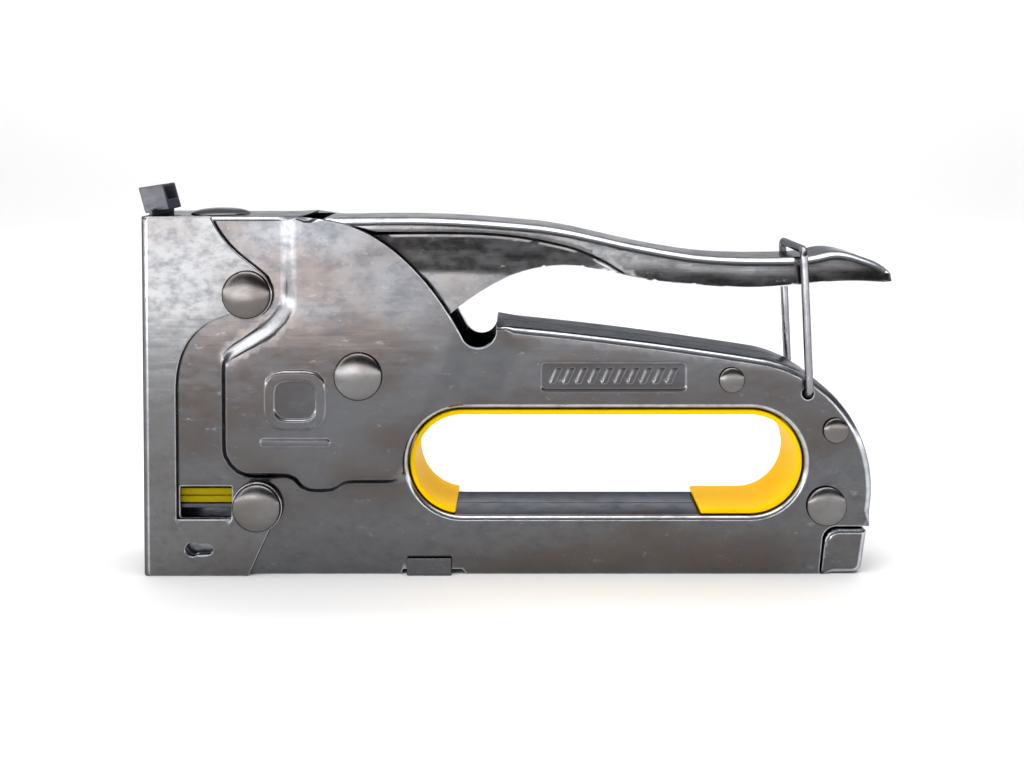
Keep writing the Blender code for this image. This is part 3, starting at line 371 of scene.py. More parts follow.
SHEET = 0.0010
HALF_WIDTH = 0.0090
NOSE_X = -0.0829
REAR_X = 0.0811
TOP_Z = 0.0808
BODY_NOSE_X = NOSE_X + 0.0024
BULGE = 0.0018
BEND = 0.0017
SEAM = 0.00015
CUT_X = REAR_X - 0.0121
CUT_Z = 0.0109
CUT_RADIUS = 0.0033
NOTCH = (NOSE_X + 0.0753, 0.0553)
NOTCH_RADIUS = 0.0040
GRIP_Z = 0.0563
CLIP = (-0.0238, -0.0137)
HOLE = (NOSE_X + 0.0595, REAR_X - 0.0155, 0.0132, 0.0374)
HOLE_RADIUS = (HOLE[3] - HOLE[2]) / 2
EDGE_PITCH = 0.0016
FOOT_STEP = 0.0008
BACK_RADIUS = 0.0303
BACK_END_DEG = 78
CAP_SHOULDER = 0.0007
LARGE_HOLE = 0.0028
RIVETS = {"front_upper": (-0.0593, 0.0634), "front_lower": (-0.0573, 0.0155),
          "lever_pivot": (-0.0344, 0.0452), "rear_lower": (REAR_X - 0.0105, 0.0155),
          "rear_upper": (REAR_X - 0.0085, 0.0326), "grip": (REAR_X - 0.0319, 0.0440)}
BAIL = (REAR_X - 0.0148, 0.0409)
WINDOW = (-0.0748, -0.0631, 0.0128, 0.0200)
KEYHOLE = (-0.0718, 0.0060)


def body_edge():
    """The side-view edge, anticlockwise, with the bend radius of each point."""
    corner = (CUT_X + CUT_RADIUS + CAP_SHOULDER, CUT_Z - CUT_RADIUS)
    bottom = [(BODY_NOSE_X, 0), (CLIP[0] - 0.0013, 0), (CLIP[0] - 0.0009, 0.0012), (CLIP[1] + 0.0024, 0.0012),
              (CLIP[1] + 0.0034, 0), (CUT_X, 0)]
    bottom += arc(corner, CUT_RADIUS, 180, 90, 8) + [(REAR_X - FOOT_STEP, CUT_Z)]
    bottom = evened(bottom, EDGE_PITCH)
    back = (REAR_X - BACK_RADIUS, 0.0190)
    grip = [(REAR_X - FOOT_STEP, CUT_Z)] + arc(back, BACK_RADIUS, -12, BACK_END_DEG, 30)
    front = (NOTCH[0] + NOTCH_RADIUS, GRIP_Z)
    end = grip[-1]
    span = (end[0] - front[0]) / 3
    lead = (end[0] - span, end[1] + span / math.tan(math.radians(BACK_END_DEG)) * 0.75)
    slope = curve(end, lead, (front[0] + span, front[1] - span * 0.09), front, 30)
    grip = evened(grip + slope[1:], EDGE_PITCH)
    mouth = [front] + arc(NOTCH, NOTCH_RADIUS, 0, -160, 18)
    end, start = mouth[-1], (NOSE_X + 0.0401, TOP_Z - 0.0006)
    mouth += curve(end, (end[0] - 0.0066, end[1] + 0.0125), (start[0] + 0.0140, start[1] - 0.0010),
                   start, 36)[1:]
    mouth.append((NOSE_X + 0.0360, TOP_Z))
    top = evened([mouth[-1], (BODY_NOSE_X, TOP_Z), (BODY_NOSE_X, 0)], EDGE_PITCH)
    points, bends = [], []
    for line, bend in ((bottom, None), (grip, BEND), (mouth, None), (top, BEND * 0.7)):
        for i, point in enumerate(line[1:], 1):
            points.append(point)
            bends.append(bend)
            if bend and i == len(line) - 1:
                bends[-1] = 0.0
            elif bend:
                bends[-1] = bend * min(1, i / 2, (len(line) - 1 - i) / 2)
    starts = len(bottom) - 2, len(bottom) + len(grip) + len(mouth) - 4
    for i in starts:
        bends[i] = 0.0
    return points, bends


def circle(centre, radius, steps=28):
    return arc(centre, radius, 0, 360, steps)[:-1]


def hole_loop(grow):
    """The finger hole, grown by a little all round, with the same points each time."""
    x0, x1, z0, z1 = HOLE
    r = HOLE_RADIUS
    left = arc((x0 + r, z0 + r), r + grow, 90, 270, 26)
    right = arc((x1 - r, z0 + r), r + grow, -90, 90, 26)
    floor = [(x, z0 - grow) for x in np.linspace(x0 + r, x1 - r, 40)[1:-1]]
    roof = [(x, z1 + grow) for x in np.linspace(x1 - r, x0 + r, 40)[1:-1]]
    return left + floor + right + roof


def block(x0, x1, z0, z1, radius, parts=12):
    """A rectangle with rounded corners and the same number of points whatever its size."""
    corners = rounded([(x0, z0), (x1, z0), (x1, z1), (x0, z1)], radius, 3)
    loop = []
    for a, b in zip(corners, corners[1:] + corners[:1]):
        count = parts if len(loop) % (parts + 3) == 3 else 1
        loop += [(a[0] + (b[0] - a[0]) * k / count, a[1] + (b[1] - a[1]) * k / count) for k in range(count)]
    return loop


def keyhole_loop():
    x, z = KEYHOLE
    return arc((x, z), 0.0016, 49, 311, 14) + arc((x + 0.0034, z), 0.0012, -90, 90, 8)


def panel_lines():
    """Foot and crest of the raised middle panel, corner for corner."""
    ridge, panel = NOSE_X + 0.0322, -0.0657
    over, hole, notch, s = TOP_Z + 0.004, HOLE[0] - 0.0010, NOTCH[0], 0.0022
    foot = [(ridge - 0.0015, over), (ridge - 0.0015, 0.0618), (panel + 0.0100, 0.0572), (panel, 0.0500),
            (panel, 0.0262), (panel + 0.0042, 0.0216), (panel + 0.0160, 0.0216), (panel + 0.0184, 0.0182),
            (panel + 0.0262, 0.0182), (panel + 0.0284, 0.0202), (hole, 0.0202), (hole + 0.0250, 0.0460),
            (notch + 0.0130, GRIP_Z + 0.004), (notch + 0.0130, over)]
    moves = [(2, 0), (2, -1), (1.5, -1.5), (1, -0.7), (1, 0.5), (0.5, 1), (0.5, 1), (0.5, 1), (-0.5, 1),
             (-0.5, 1), (-1, 1)]
    crest = [(x + a * s, z + b * s) for (x, z), (a, b) in zip(foot, moves)]
    crest += [(hole + 0.0080, 0.0460), (notch - 0.0030, GRIP_Z + 0.004), (notch - 0.0030, over)]
    return rounded(foot, 0.0022), rounded(crest, 0.0022)


body_points, body_bends = body_edge()
foot, crest = panel_lines()
plate = (0.0062, 0.0392, 0.0414, 0.0481)


def raised_block(x0, x1, z0, z1, radius, rise, slope=0.0005, lean=0.0, parts=12):
    """Foot line, crest line and rise of a small rectangular relief that may lean forwards."""
    lines = (block(x0, x1, z0, z1, radius, parts),
             block(x0 + slope, x1 - slope, z0 + slope, z1 - slope, max(radius - slope, 0.0002), parts))
    return *([(x + lean * (z - (z0 + z1) / 2), z) for x, z in line] for line in lines), rise


body_steps = [(foot, crest, BULGE), raised_block(*plate, 0.0012, -0.00025),
              raised_block(-0.0555, -0.0415, 0.0330, 0.0465, 0.0045, 0.00035),
              raised_block(-0.0534, -0.0436, 0.0351, 0.0444, 0.0030, -0.00035),
              raised_block(-0.0565, -0.0405, 0.0292, 0.0312, 0.0009, 0.00028)]
for i in range(10):
    x = plate[0] + 0.0026 + 0.0029 * i
    body_steps.append(raised_block(x, x + 0.0017, plate[2] + 0.0015, plate[3] - 0.0015, 0.0005, 0.00022,
                                   0.0004, 0.45, 5))
body_holes = [circle(RIVETS[name], size) for name, size in (
    ("front_upper", LARGE_HOLE), ("front_lower", LARGE_HOLE), ("lever_pivot", LARGE_HOLE),
    ("rear_lower", 0.0023), ("rear_upper", 0.0016), ("grip", 0.0016))]
body_holes += [circle(BAIL, 0.0014, 20), block(*WINDOW, 0.0004), keyhole_loop()]


def plated_steel(name, tint=(0.122, 0.123, 0.128), warm=0.6, rough=0.15, scale=1.0, patchy=1.0):
    """Bright plate over pressed steel: patchy tone, fine die lines, rub marks, a slight orange peel, a painted
    highlight on bends, slopes and cut edges, and painted shade in what is pressed inwards.
    """
    material = bpy.data.materials.new(name)
    material.use_nodes = True
    tree = material.node_tree
    shader = tree.nodes["Principled BSDF"]
    shader.inputs["Metallic"].default_value = 1.0
    shader.inputs["Specular Tint"].default_value = (0.30, 0.31, 0.33, 1)
    wear_and_painted_light = tree.nodes.new("ShaderNodeGroup")
    wear_and_painted_light.node_tree = plated_surface
    for key, value in (("Tone", (*tint, 1)), ("Warmth", warm), ("Roughness", rough), ("Scale", scale),
                       ("Patchy", patchy)):
        wear_and_painted_light.inputs[key].default_value = value
    place = tree.nodes.new("ShaderNodeTexCoord")
    tree.links.new(place.outputs["Object"], wear_and_painted_light.inputs["Place"])
    for key, label in (("Wear and highlight", "wear_and_highlight"), ("Recess shade", "recess_shade")):
        mark = tree.nodes.new("ShaderNodeAttribute")
        mark.attribute_name = label
        tree.links.new(mark.outputs["Fac"], wear_and_painted_light.inputs[key])
    tree.links.new(wear_and_painted_light.outputs["Colour"], shader.inputs["Base Color"])
    tree.links.new(wear_and_painted_light.outputs["Roughness"], shader.inputs["Roughness"])
    bump = node(tree, "Bump", [("Strength", 0.30), ("Distance", 0.0002), ("Height", wear_and_painted_light.outputs["Height"])])
    tree.links.new(bump.outputs["Normal"], shader.inputs["Normal"])
    return material


def group_of(name, inputs, outputs, kind="ShaderNodeTree"):
    """An empty node group with its named sockets, and its two end nodes."""
    tree = bpy.data.node_groups.new(name, kind)
    for way, sockets in (("INPUT", inputs), ("OUTPUT", outputs)):
        for label, value in sockets:
            tree.interface.new_socket(label, in_out=way, socket_type="NodeSocket" + value)
    return tree, tree.nodes.new("NodeGroupInput"), tree.nodes.new("NodeGroupOutput")


def node(tree, kind, links=(), **settings):
    """Adds a node; links are (input, value or output) pairs."""
    made_node = tree.nodes.new("ShaderNode" + kind)
    for key, value in settings.items():
        setattr(made_node, key, value)
    for key, value in links:
        if isinstance(value, bpy.types.NodeSocket):
            tree.links.new(value, made_node.inputs[key])
        else:
            made_node.inputs[key].default_value = value
    return made_node


def maths(tree, operation, a, b=0.0, c=0.0):
    return node(tree, "Math", [(0, a), (1, b), (2, c)], operation=operation).outputs[0]


def mixed(tree, share, a, b):
    mixer = node(tree, "Mix", data_type="RGBA")
    for key, value in (("Factor", share), ("A", a), ("B", b)):
        socket = next(s for s in mixer.inputs if s.name == key and s.enabled)
        if isinstance(value, bpy.types.NodeSocket):
            tree.links.new(value, socket)
        else:
            socket.default_value = value
    return next(s for s in mixer.outputs if s.enabled)


def noise(tree, place, scale, detail=4.0, rough=0.55, stretch=None):
    """A noise value, on a place that may be stretched first."""
    if stretch:
        place = node(tree, "Mapping", [("Vector", place), ("Scale", stretch)]).outputs[0]
    links = [("Vector", place), ("Scale", scale), ("Detail", detail), ("Roughness", rough)]
    return node(tree, "TexNoise", links).outputs[0]


def ranged(tree, value, low, high, to_low=0.0, to_high=1.0):
    return node(tree, "MapRange", [("Value", value), ("From Min", low), ("From Max", high),
                                   ("To Min", to_low), ("To Max", to_high)],
                interpolation_type="SMOOTHSTEP").outputs[0]


WARM_TINGE = (0.085, 0.062, 0.049, 1)
DULL_PATCH = (0.080, 0.084, 0.096, 1)
BRIGHT_SPECK = (0.42, 0.42, 0.42, 1)
SCUFF = (0.36, 0.36, 0.36, 1)
PAINTED_RECESS_SHADE = (0.05, 0.05, 0.055, 1)
POLISH_AND_HIGHLIGHT = (0.62, 0.64, 0.68, 1)
plated_surface, given, result = group_of(
    "Plated pressed steel",
    [("Place", "Vector"), ("Tone", "Color"), ("Warmth", "Float"), ("Roughness", "Float"), ("Scale", "Float"),
     ("Wear and highlight", "Float"), ("Recess shade", "Float"), ("Patchy", "Float")],
    [("Colour", "Color"), ("Roughness", "Float"), ("Height", "Float")])
g = plated_surface
spot = node(g, "VectorMath", [(0, given.outputs["Place"]), ("Scale", given.outputs["Scale"])],
            operation="SCALE").outputs[0]
broad = noise(g, spot, 38, 3, 0.5, (0.75, 1, 1.6))
warmth = maths(g, "MULTIPLY", ranged(g, broad, 0.42, 0.66), given.outputs["Warmth"])
mottle = noise(g, spot, 230, 5, 0.65, (1, 1, 1.6))
speck = noise(g, spot, 1500, 2, 0.6)
lines = noise(g, spot, 900, 3, 0.6, (0.06, 1, 1.4))
colour = mixed(g, warmth, given.outputs["Tone"], WARM_TINGE)
patches = maths(g, "MULTIPLY", ranged(g, mottle, 0.40, 0.72, 0.0, 0.60), given.outputs["Patchy"])
colour = mixed(g, patches, colour, DULL_PATCH)
specks = maths(g, "MULTIPLY", ranged(g, speck, 0.62, 0.85, 0.0, 0.18), given.outputs["Patchy"])
colour = mixed(g, specks, colour, BRIGHT_SPECK)
rub = ranged(g, noise(g, spot, 520, 6, 0.7, (0.5, 1, 1)), 0.60, 0.74)
scuffs = maths(g, "MULTIPLY", maths(g, "MULTIPLY", rub, 0.3), given.outputs["Patchy"])
colour = mixed(g, scuffs, colour, SCUFF)
# Painted shade: what is pressed inwards is darkened.
colour = mixed(g, maths(g, "MULTIPLY", given.outputs["Recess shade"], 0.45), colour, PAINTED_RECESS_SHADE)
# Bends, slopes and cut edges are lightened towards a polished grey: part wear, part painted highlight.
polish_and_highlight = maths(g, "MULTIPLY", given.outputs["Wear and highlight"], ranged(g, mottle, 0.75, 0.35, 0.45, 0.95))
colour = mixed(g, polish_and_highlight, colour, POLISH_AND_HIGHLIGHT)
rough = maths(g, "ADD", given.outputs["Roughness"], ranged(g, mottle, 0.35, 0.75, 0.0, 0.13))
rough = maths(g, "ADD", rough, maths(g, "MULTIPLY", rub, 0.12))
level = maths(g, "ADD", maths(g, "MULTIPLY", broad, 4.0), maths(g, "MULTIPLY", lines, 0.10))
level = maths(g, "ADD", level, maths(g, "MULTIPLY", speck, 0.05))
g.links.new(colour, result.inputs["Colour"])
g.links.new(rough, result.inputs["Roughness"])
g.links.new(level, result.inputs["Height"])

body_nickel = plated_steel("body_nickel")
for name, side in (("left_shell", -1), ("right_shell", 1)):
    half = made(name + "_pressing", drawn_side(body_points, body_bends, HALF_WIDTH, body_steps, body_holes,
                                               seam=SEAM, side=side, collar=hole_loop))
    fitted(sheet_metal(half, SHEET), "housing", "nickel_plate", body_nickel, name)


# ---------------------------------------------------------------- Front cover
# One 1 mm pressing bent round the nose, with a C-shaped cheek on each side. It covers the staple
# drive and is held at two ears on each side by the large rivets.
COVER_HALF = HALF_WIDTH + 0.0013
COVER_BEND = 0.0014
EAR = 0.0057
COVER_WALL_X = -0.0753


def both_sides(*shape, **more):
    """Both halves of a pressing that is one sheet across the middle plane, as one bmesh."""
    whole = bmesh.new()
    for side in (-1, 1):
        part = drawn_side(*shape, side=side, **more)
        half_mesh = bpy.data.meshes.new("half")
        part.to_mesh(half_mesh)
        part.free()
        whole.from_mesh(half_mesh)
        bpy.data.meshes.remove(half_mesh)
    bmesh.ops.remove_doubles(whole, verts=whole.verts, dist=JOIN)
    return whole


def cover_edge():
    """The cover's side-view edge with its two ears, anticlockwise."""
    upper, lower = RIVETS["front_upper"], RIVETS["front_lower"]
    start = NOSE_X + COVER_BEND
    line = [(start, 0), (lower[0] - 0.0020, 0)] + arc(lower, EAR, -60, 170, 26)
    line += [(WINDOW[1], WINDOW[2]), (COVER_WALL_X, WINDOW[2])]
    line += curve((COVER_WALL_X, upper[1] - 0.0220), (COVER_WALL_X, upper[1] - 0.0120),
                  (upper[0] - 0.0120, upper[1] - EAR - 0.0010),
                  (upper[0] - 0.0035, upper[1] - EAR + 0.0012), 16)
    line += arc(upper, EAR, -100, 20, 16)
    line += curve((upper[0] + EAR * 0.80, upper[1] + EAR * 0.66), (upper[0] + 0.0010, upper[1] + 0.0075),
                  (-0.0636, TOP_Z - 0.0080), (-0.0672, TOP_Z), 16)
    line += [(start, TOP_Z), (start, 0)]
    return evened(line, 0.0014)[:-1]


cover_points = cover_edge()
cover_holes = [circle(RIVETS[name], LARGE_HOLE) for name in ("front_upper", "front_lower")]
cover_bm = both_sides(cover_points, [None] * len(cover_points), COVER_HALF, wrap=COVER_BEND,
                      holes=[*cover_holes, keyhole_loop()])
cover = sheet_metal(made("front_cover_pressing", cover_bm), SHEET, 0.00022)
# Painted light: a lighter copy of the body's nickel, to paint in how brightly the cover is lit.
cover_nickel_lit_copy = plated_steel("cover_nickel_lit_copy", (0.150, 0.150, 0.151), 0.30, 0.16, 1.3, 0.8)
fitted(cover, "housing", "nickel_plate", cover_nickel_lit_copy, "front_cover")


# ---------------------------------------------------------------- Nose guide plate
# A flat plate behind the cover that backs the driver blade. Its top is bent forward into a small
# cupped lug, which stands above the nose. Dark steel, left in its oil.
def softened(node_name, width, angle=35):
    """A CAD piece with its loose faces joined and its edges broken."""
    bm = bmesh.new()
    bm.from_mesh(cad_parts[node_name].data)
    bmesh.ops.remove_doubles(bm, verts=bm.verts, dist=JOIN)
    bmesh.ops.dissolve_limit(bm, angle_limit=math.radians(1), verts=bm.verts, edges=bm.edges)
    obj = made(node_name + "_finished", bm)
    break_edges(obj, width, angle)
    return settled(obj)


def finished(node_name, width, body, slot, material):
    """Puts a CAD piece back on its body with its edges broken and a real surface."""
    fitted(softened(node_name, width), body, slot, material, node_name)


dark_steel = plated_steel("oiled_steel", (0.085, 0.088, 0.098), 0.15, 0.34, 1.6)
finished("nose_guide_plate", 0.00025, "housing", "dark_steel", dark_steel)


# ---------------------------------------------------------------- Squeeze lever
# A channel pressed from 1.2 mm steel and nickel plated: its top is turned over along both edges for
# the palm, and two set-in cheeks run down to the pivot. It turns on the large middle rivet.
LEVER_HALF = 0.0083
LEVER_SHEET = 0.0012
PIVOT = RIVETS["lever_pivot"]
ARM_PIN = (-0.0410, 0.0500)
LEVER_FRONT = NOSE_X + 0.0407
LEVER_TIP = REAR_X + 0.0041
LEVER_BEND = 0.0019
CREASE_END = 0.030
CHEEK_STEP = 0.0009


def lever_edge():
    """The lever's side-view edge with its bend radii, its crease line and its top line."""
    top = through([
        (LEVER_FRONT, TOP_Z - 0.0005), (-0.0200, TOP_Z - 0.0004), (-0.0020, TOP_Z - 0.0014),
        (0.0110, TOP_Z - 0.0029), (0.0290, TOP_Z - 0.0068), (0.0450, TOP_Z - 0.0092),
        (LEVER_TIP - 0.0210, TOP_Z - 0.0094), (LEVER_TIP - 0.0120, TOP_Z - 0.0081),
        (LEVER_TIP - 0.0045, TOP_Z - 0.0100), (LEVER_TIP - 0.0012, TOP_Z - 0.0117),
        (LEVER_TIP, TOP_Z - 0.0131),
    ], 8)
    hand = through([
        (LEVER_FRONT, TOP_Z - 0.0036), (-0.0070, TOP_Z - 0.0036), (0.0110, TOP_Z - 0.0062),
        (0.0200, TOP_Z - 0.0096), (0.0290, TOP_Z - 0.0141), (0.0450, TOP_Z - 0.0157),
        (LEVER_TIP - 0.0290, TOP_Z - 0.0161), (LEVER_TIP - 0.0120, TOP_Z - 0.0146),
        (LEVER_TIP, TOP_Z - 0.0147),
    ], 8)
    web = through([
        (-0.0250, TOP_Z - 0.0350), (-0.0165, TOP_Z - 0.0247), (-0.0115, TOP_Z - 0.0201),
        (-0.0025, TOP_Z - 0.0145), (0.0065, TOP_Z - 0.0118), (0.0155, TOP_Z - 0.0116),
        (0.0280, TOP_Z - 0.0139),
    ], 8)
    front = LEVER_FRONT + 0.0006
    under = [(front, TOP_Z - 0.0012), (ARM_PIN[0] - 0.0042, ARM_PIN[1] + 0.0020)]
    under += arc((ARM_PIN[0] - 0.0007, ARM_PIN[1] - 0.0008), 0.0036, 170, 220, 6)
    under += arc(PIVOT, 0.0090, 215, 345, 20) + web + [p for p in hand if p[0] > web[-1][0] + 0.0006]
    under = evened(under, 0.0013)
    over = evened(top[::-1], 0.0011)
    bends = [None] * len(under)
    last = len(over) - 1
    for i in range(1, len(over)):
        bends.append(LEVER_BEND * min(1, i / 6, (last - i) / 3))
    bends[len(under) - 1] = 0.0
    return under + over[1:], bends, np.array(hand), np.array(top)


lever_points, lever_bends, hand_line, roof_line = lever_edge()


def cheek_step(flat):
    """The cheeks are set in below the crease under the turned-over edge."""
    depth = np.interp(flat[:, 0], hand_line[:, 0], hand_line[:, 1]) - flat[:, 1]
    t = np.clip(depth / CHEEK_STEP, 0, 1)
    lean = np.clip((depth - CHEEK_STEP) / 0.0090, 0, 1)
    deepest = np.clip((CREASE_END - flat[:, 0]) / 0.012, 0, 1)
    fade = np.clip((0.0285 - flat[:, 0]) / 0.010, 0, 1)
    cheek = -t * t * (3 - 2 * t) * (0.0007 * fade + 0.0011 * deepest * (1 - lean))
    roof = np.interp(flat[:, 0], roof_line[:, 0], roof_line[:, 1])
    share = np.clip((roof - flat[:, 1]) / np.maximum(roof - flat[:, 1] - depth, 0.002), 0, 1)
    return cheek - 0.0006 * (1 - share**2) * (1 - deepest)


creases = [[(x, z - drop) for x, z in hand_line if x < CREASE_END]
           for drop in (0, 0.0002, 0.00045, 0.0007, CHEEK_STEP, 0.0016)]
lever_holes = [circle(PIVOT, LARGE_HOLE), circle(ARM_PIN, 0.0018, 18)]
lever_bm = both_sides(lever_points, lever_bends, LEVER_HALF, holes=lever_holes, pitch=0.0011,
                      relief=cheek_step, guides=creases)
lever = sheet_metal(made("squeeze_lever", lever_bm), LEVER_SHEET, 0.0002)
# Painted light: a lighter copy of the body's nickel, to paint in the light the lever takes.
lever_nickel_lit_copy = plated_steel("lever_nickel_lit_copy", (0.175, 0.173, 0.174), 0.4, 0.12, 1.0)
fitted(lever, "lever", "nickel_plate", lever_nickel_lit_copy, "lever")


# ---------------------------------------------------------------- Lift arm, its pin and the return spring
# The hardened arm between the cheeks raises the striker. A short pin ties it to the lever, a zinc
# sleeve keeps it central on the pivot, and a coil of 1.1 mm wire brings the lever back.
spring_wire = plated_steel("spring_wire", (0.24, 0.245, 0.26), 0.10, 0.24, 2.0, 0.3)
zinc = plated_steel("dull_zinc", (0.36, 0.37, 0.39), 0.12, 0.38, 1.8)
finished("lift_arm", 0.00025, "lever", "dark_steel", dark_steel)
finished("lift_arm_pin", 0.0002, "lever", "zinc_plate", zinc)
finished("pivot_sleeve", 0.00015, "housing", "zinc_plate", zinc)


def wire_piece(name, points, diameter, sides=16):
    """A round wire along the points, with closed and slightly rounded ends."""
    points = [Vector(p) for p in points]
    bm = bmesh.new()
    rings = []
    tangent = (points[1] - points[0]).normalized()
    across = tangent.orthogonal().normalized()
    for i, here in enumerate(points):
        ahead = points[min(i + 1, len(points) - 1)] - points[max(i - 1, 0)]
        turn = tangent.rotation_difference(ahead.normalized())
        tangent = ahead.normalized()
        across = turn @ across
        up = tangent.cross(across)
        shares = (1,)
        if i == 0:
            shares = (0.7, 1)
        elif i == len(points) - 1:
            shares = (1, 0.7)
        for share in shares:
            inset = tangent * (diameter * 0.12) * ((1 - share) / 0.3) * (-1 if i == 0 else 1)
            rings.append([
                bm.verts.new(here + inset + (across * math.cos(a) + up * math.sin(a)) * diameter / 2 * share)
                for a in np.linspace(0, math.tau, sides, endpoint=False)])
    for near, far in zip(rings, rings[1:]):
        for i in range(sides):
            j = (i + 1) % sides
            bm.faces.new((near[i], near[j], far[j], far[i]))
    bm.faces.new(rings[0][::-1])
    bm.faces.new(rings[-1])
    bmesh.ops.recalc_face_normals(bm, faces=bm.faces)
    obj = made(name, bm)
    obj.data.shade_smooth()
    obj.data.set_sharp_from_angle(angle=math.radians(60))
    return obj


def coil(centre, radius, start, sweep, first, travel, steps):
    """Points of a coil about Y through (x, z), from a start angle, moving along Y as it turns."""
    points = []
    for k in np.linspace(0, 1, steps):
        a = start + sweep * k
        points.append((centre[0] + radius * math.cos(a), first + travel * k, centre[1] + radius * math.sin(a)))
    return points


RETURN_RADIUS = 0.0040
RETURN_WIRE = 0.0011
RETURN_LEAD = 0.0110
RETURN_TRAIL = 0.0090
return_coil = coil(PIVOT, RETURN_RADIUS, math.radians(-90), math.tau * 2 + math.radians(130),
                   -0.00305, -0.0027, 110)
lead = Vector(return_coil[0]) + Vector((-RETURN_LEAD, 0, 0))
close = math.radians(40)
trail = Vector(return_coil[-1]) + Vector((-math.sin(close), 0, math.cos(close))) * RETURN_TRAIL
return_spring = wire_piece("return_coil", [lead, *return_coil, trail], RETURN_WIRE)
fitted(return_spring, "housing", "spring_steel", spring_wire, "lever_return_spring")


# ---------------------------------------------------------------- Lock bail
# A loop of 1.8 mm bright wire whose two ends hook into holes in the body. It swings over the tail of
# the lever to lock it down for storage.
BAIL_WIRE = 0.0018
BAIL_LEG = HALF_WIDTH + 0.0004 + BAIL_WIRE / 2
BAIL_TOP = 0.0734
BAIL_BEND = 0.0016
BAIL_FORWARD = 0.0014
x, z = BAIL
quarter = np.radians(np.linspace(0, 90, 9))
right = [(x, 0.0060, z)]
for a in quarter:
    right.append((x, BAIL_LEG - BAIL_BEND + BAIL_BEND * math.sin(a), z + BAIL_BEND - BAIL_BEND * math.cos(a)))
for k in np.linspace(0.05, 0.95, 12):
    right.append((x - BAIL_FORWARD * k, BAIL_LEG, z + BAIL_BEND + (BAIL_TOP - z - 2 * BAIL_BEND) * k))
for a in quarter:
    right.append((x - BAIL_FORWARD, BAIL_LEG - BAIL_BEND + BAIL_BEND * math.cos(a),
                  BAIL_TOP - BAIL_BEND + BAIL_BEND * math.sin(a)))
bail = wire_piece("lock_bail", right + [(x, -y, z) for x, y, z in reversed(right)], BAIL_WIRE, 20)
bail_nickel = plated_steel("bail_nickel", (0.26, 0.26, 0.27), 0.15, 0.18, 1.5, 0.25)
fitted(bail, "bail", "nickel_plate", bail_nickel, "bail")


# ---------------------------------------------------------------- Power spring and its cap
# A stiff coil of 1.5 mm spring steel between the striker and a turned cap. The cap's domed end comes
# through a round hole in the top of the body, and its boss keeps the coil central.
def coil_tree(name):
    """Geometry Nodes: a coil wound up +Z from the origin."""
    tree, given, result = group_of(
        name, [("Radius", "Float"), ("Height", "Float"), ("Turns", "Float"), ("Wire", "Float"),
               ("Metal", "Material")], [("Geometry", "Geometry")], "GeometryNodeTree")
    spiral, ring, tube, smooth, real, metal = [tree.nodes.new("GeometryNode" + kind) for kind in (
        "CurveSpiral", "CurvePrimitiveCircle", "CurveToMesh", "SetShadeSmooth", "RealizeInstances",
        "SetMaterial")]
    link = tree.links.new
    spiral.inputs["Resolution"].default_value = 40
    ring.inputs["Resolution"].default_value = 14
    for socket in ("Start Radius", "End Radius"):
        link(given.outputs["Radius"], spiral.inputs[socket])
    link(given.outputs["Height"], spiral.inputs["Height"])
    link(given.outputs["Turns"], spiral.inputs["Rotations"])
    link(given.outputs["Wire"], ring.inputs["Radius"])
    link(spiral.outputs["Curve"], tube.inputs["Curve"])
    link(ring.outputs["Curve"], tube.inputs["Profile Curve"])
    tube.inputs["Fill Caps"].default_value = True
    link(tube.outputs["Mesh"], smooth.inputs["Geometry"])
    link(smooth.outputs["Geometry"], real.inputs["Geometry"])
    link(real.outputs["Geometry"], metal.inputs["Geometry"])
    link(given.outputs["Metal"], metal.inputs["Material"])
    link(metal.outputs["Geometry"], result.inputs["Geometry"])
    return tree


def grown(name, tree, values, points=((0, 0, 0),)):
    """Runs a tree on a set of points and keeps the plain mesh that it makes."""
    mesh = bpy.data.meshes.new(name)
    mesh.from_pydata([tuple(p) for p in points], [], [])
    obj = bpy.data.objects.new(name, mesh)
    bpy.context.scene.collection.objects.link(obj)
    modifier = obj.modifiers.new("Shape", "NODES")
    modifier.node_group = tree
    for item in tree.interface.items_tree:
        if item.in_out == "INPUT" and item.name in values:
            modifier[item.identifier] = values[item.name]
    return settled(obj)


def coil_piece(name, radius, wire, turns, start, end, axis_point, along_x=False):
    obj = grown(name, coil_shape, {"Radius": radius, "Height": end - start, "Turns": turns, "Wire": wire / 2,
                                   "Metal": spring_wire})
    turn = Matrix.Rotation(math.radians(90), 4, "Y") if along_x else Matrix()
    place = (start, *axis_point) if along_x else (*axis_point, start)
    obj.data.transform(Matrix.Translation(place) @ turn)
    return obj


coil_shape = coil_tree("wound coil")
SPRING_X = -0.0676
POWER_RADIUS = 0.0043
POWER_WIRE = 0.0015
POWER_END = 0.00085
power_low, power_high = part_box("power_spring")
power_spring = coil_piece("power_coil", POWER_RADIUS, POWER_WIRE, 9.0, power_low[2] + POWER_END,
                          power_high[2] - POWER_END, (SPRING_X, 0))
fitted(power_spring, "housing", "spring_steel", spring_wire, "power_spring")
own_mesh(power_spring)


def turned(name, profile, origin, steps=64):
    """A turned piece from (radius, height) pairs, about Z."""
    bm = bmesh.new()
    rows = []
    for radius, height in profile:
        if radius < 1e-7:
            rows.append([bm.verts.new((origin[0], origin[1], origin[2] + height))])
        else:
            rows.append([
                bm.verts.new((origin[0] + radius * math.cos(a), origin[1] + radius * math.sin(a),
                              origin[2] + height)) for a in np.linspace(0, math.tau, steps, endpoint=False)])
    for near, far in zip(rows, rows[1:]):
        for i in range(steps):
            j = (i + 1) % steps
            corners = [near[i % len(near)], near[j % len(near)], far[j % len(far)], far[i % len(far)]]
            bm.faces.new(list(dict.fromkeys(corners)))
    bmesh.ops.recalc_face_normals(bm, faces=bm.faces)
    obj = made(name, bm)
    obj.data.shade_smooth()
    obj.data.set_sharp_from_angle(angle=math.radians(32))
    return obj


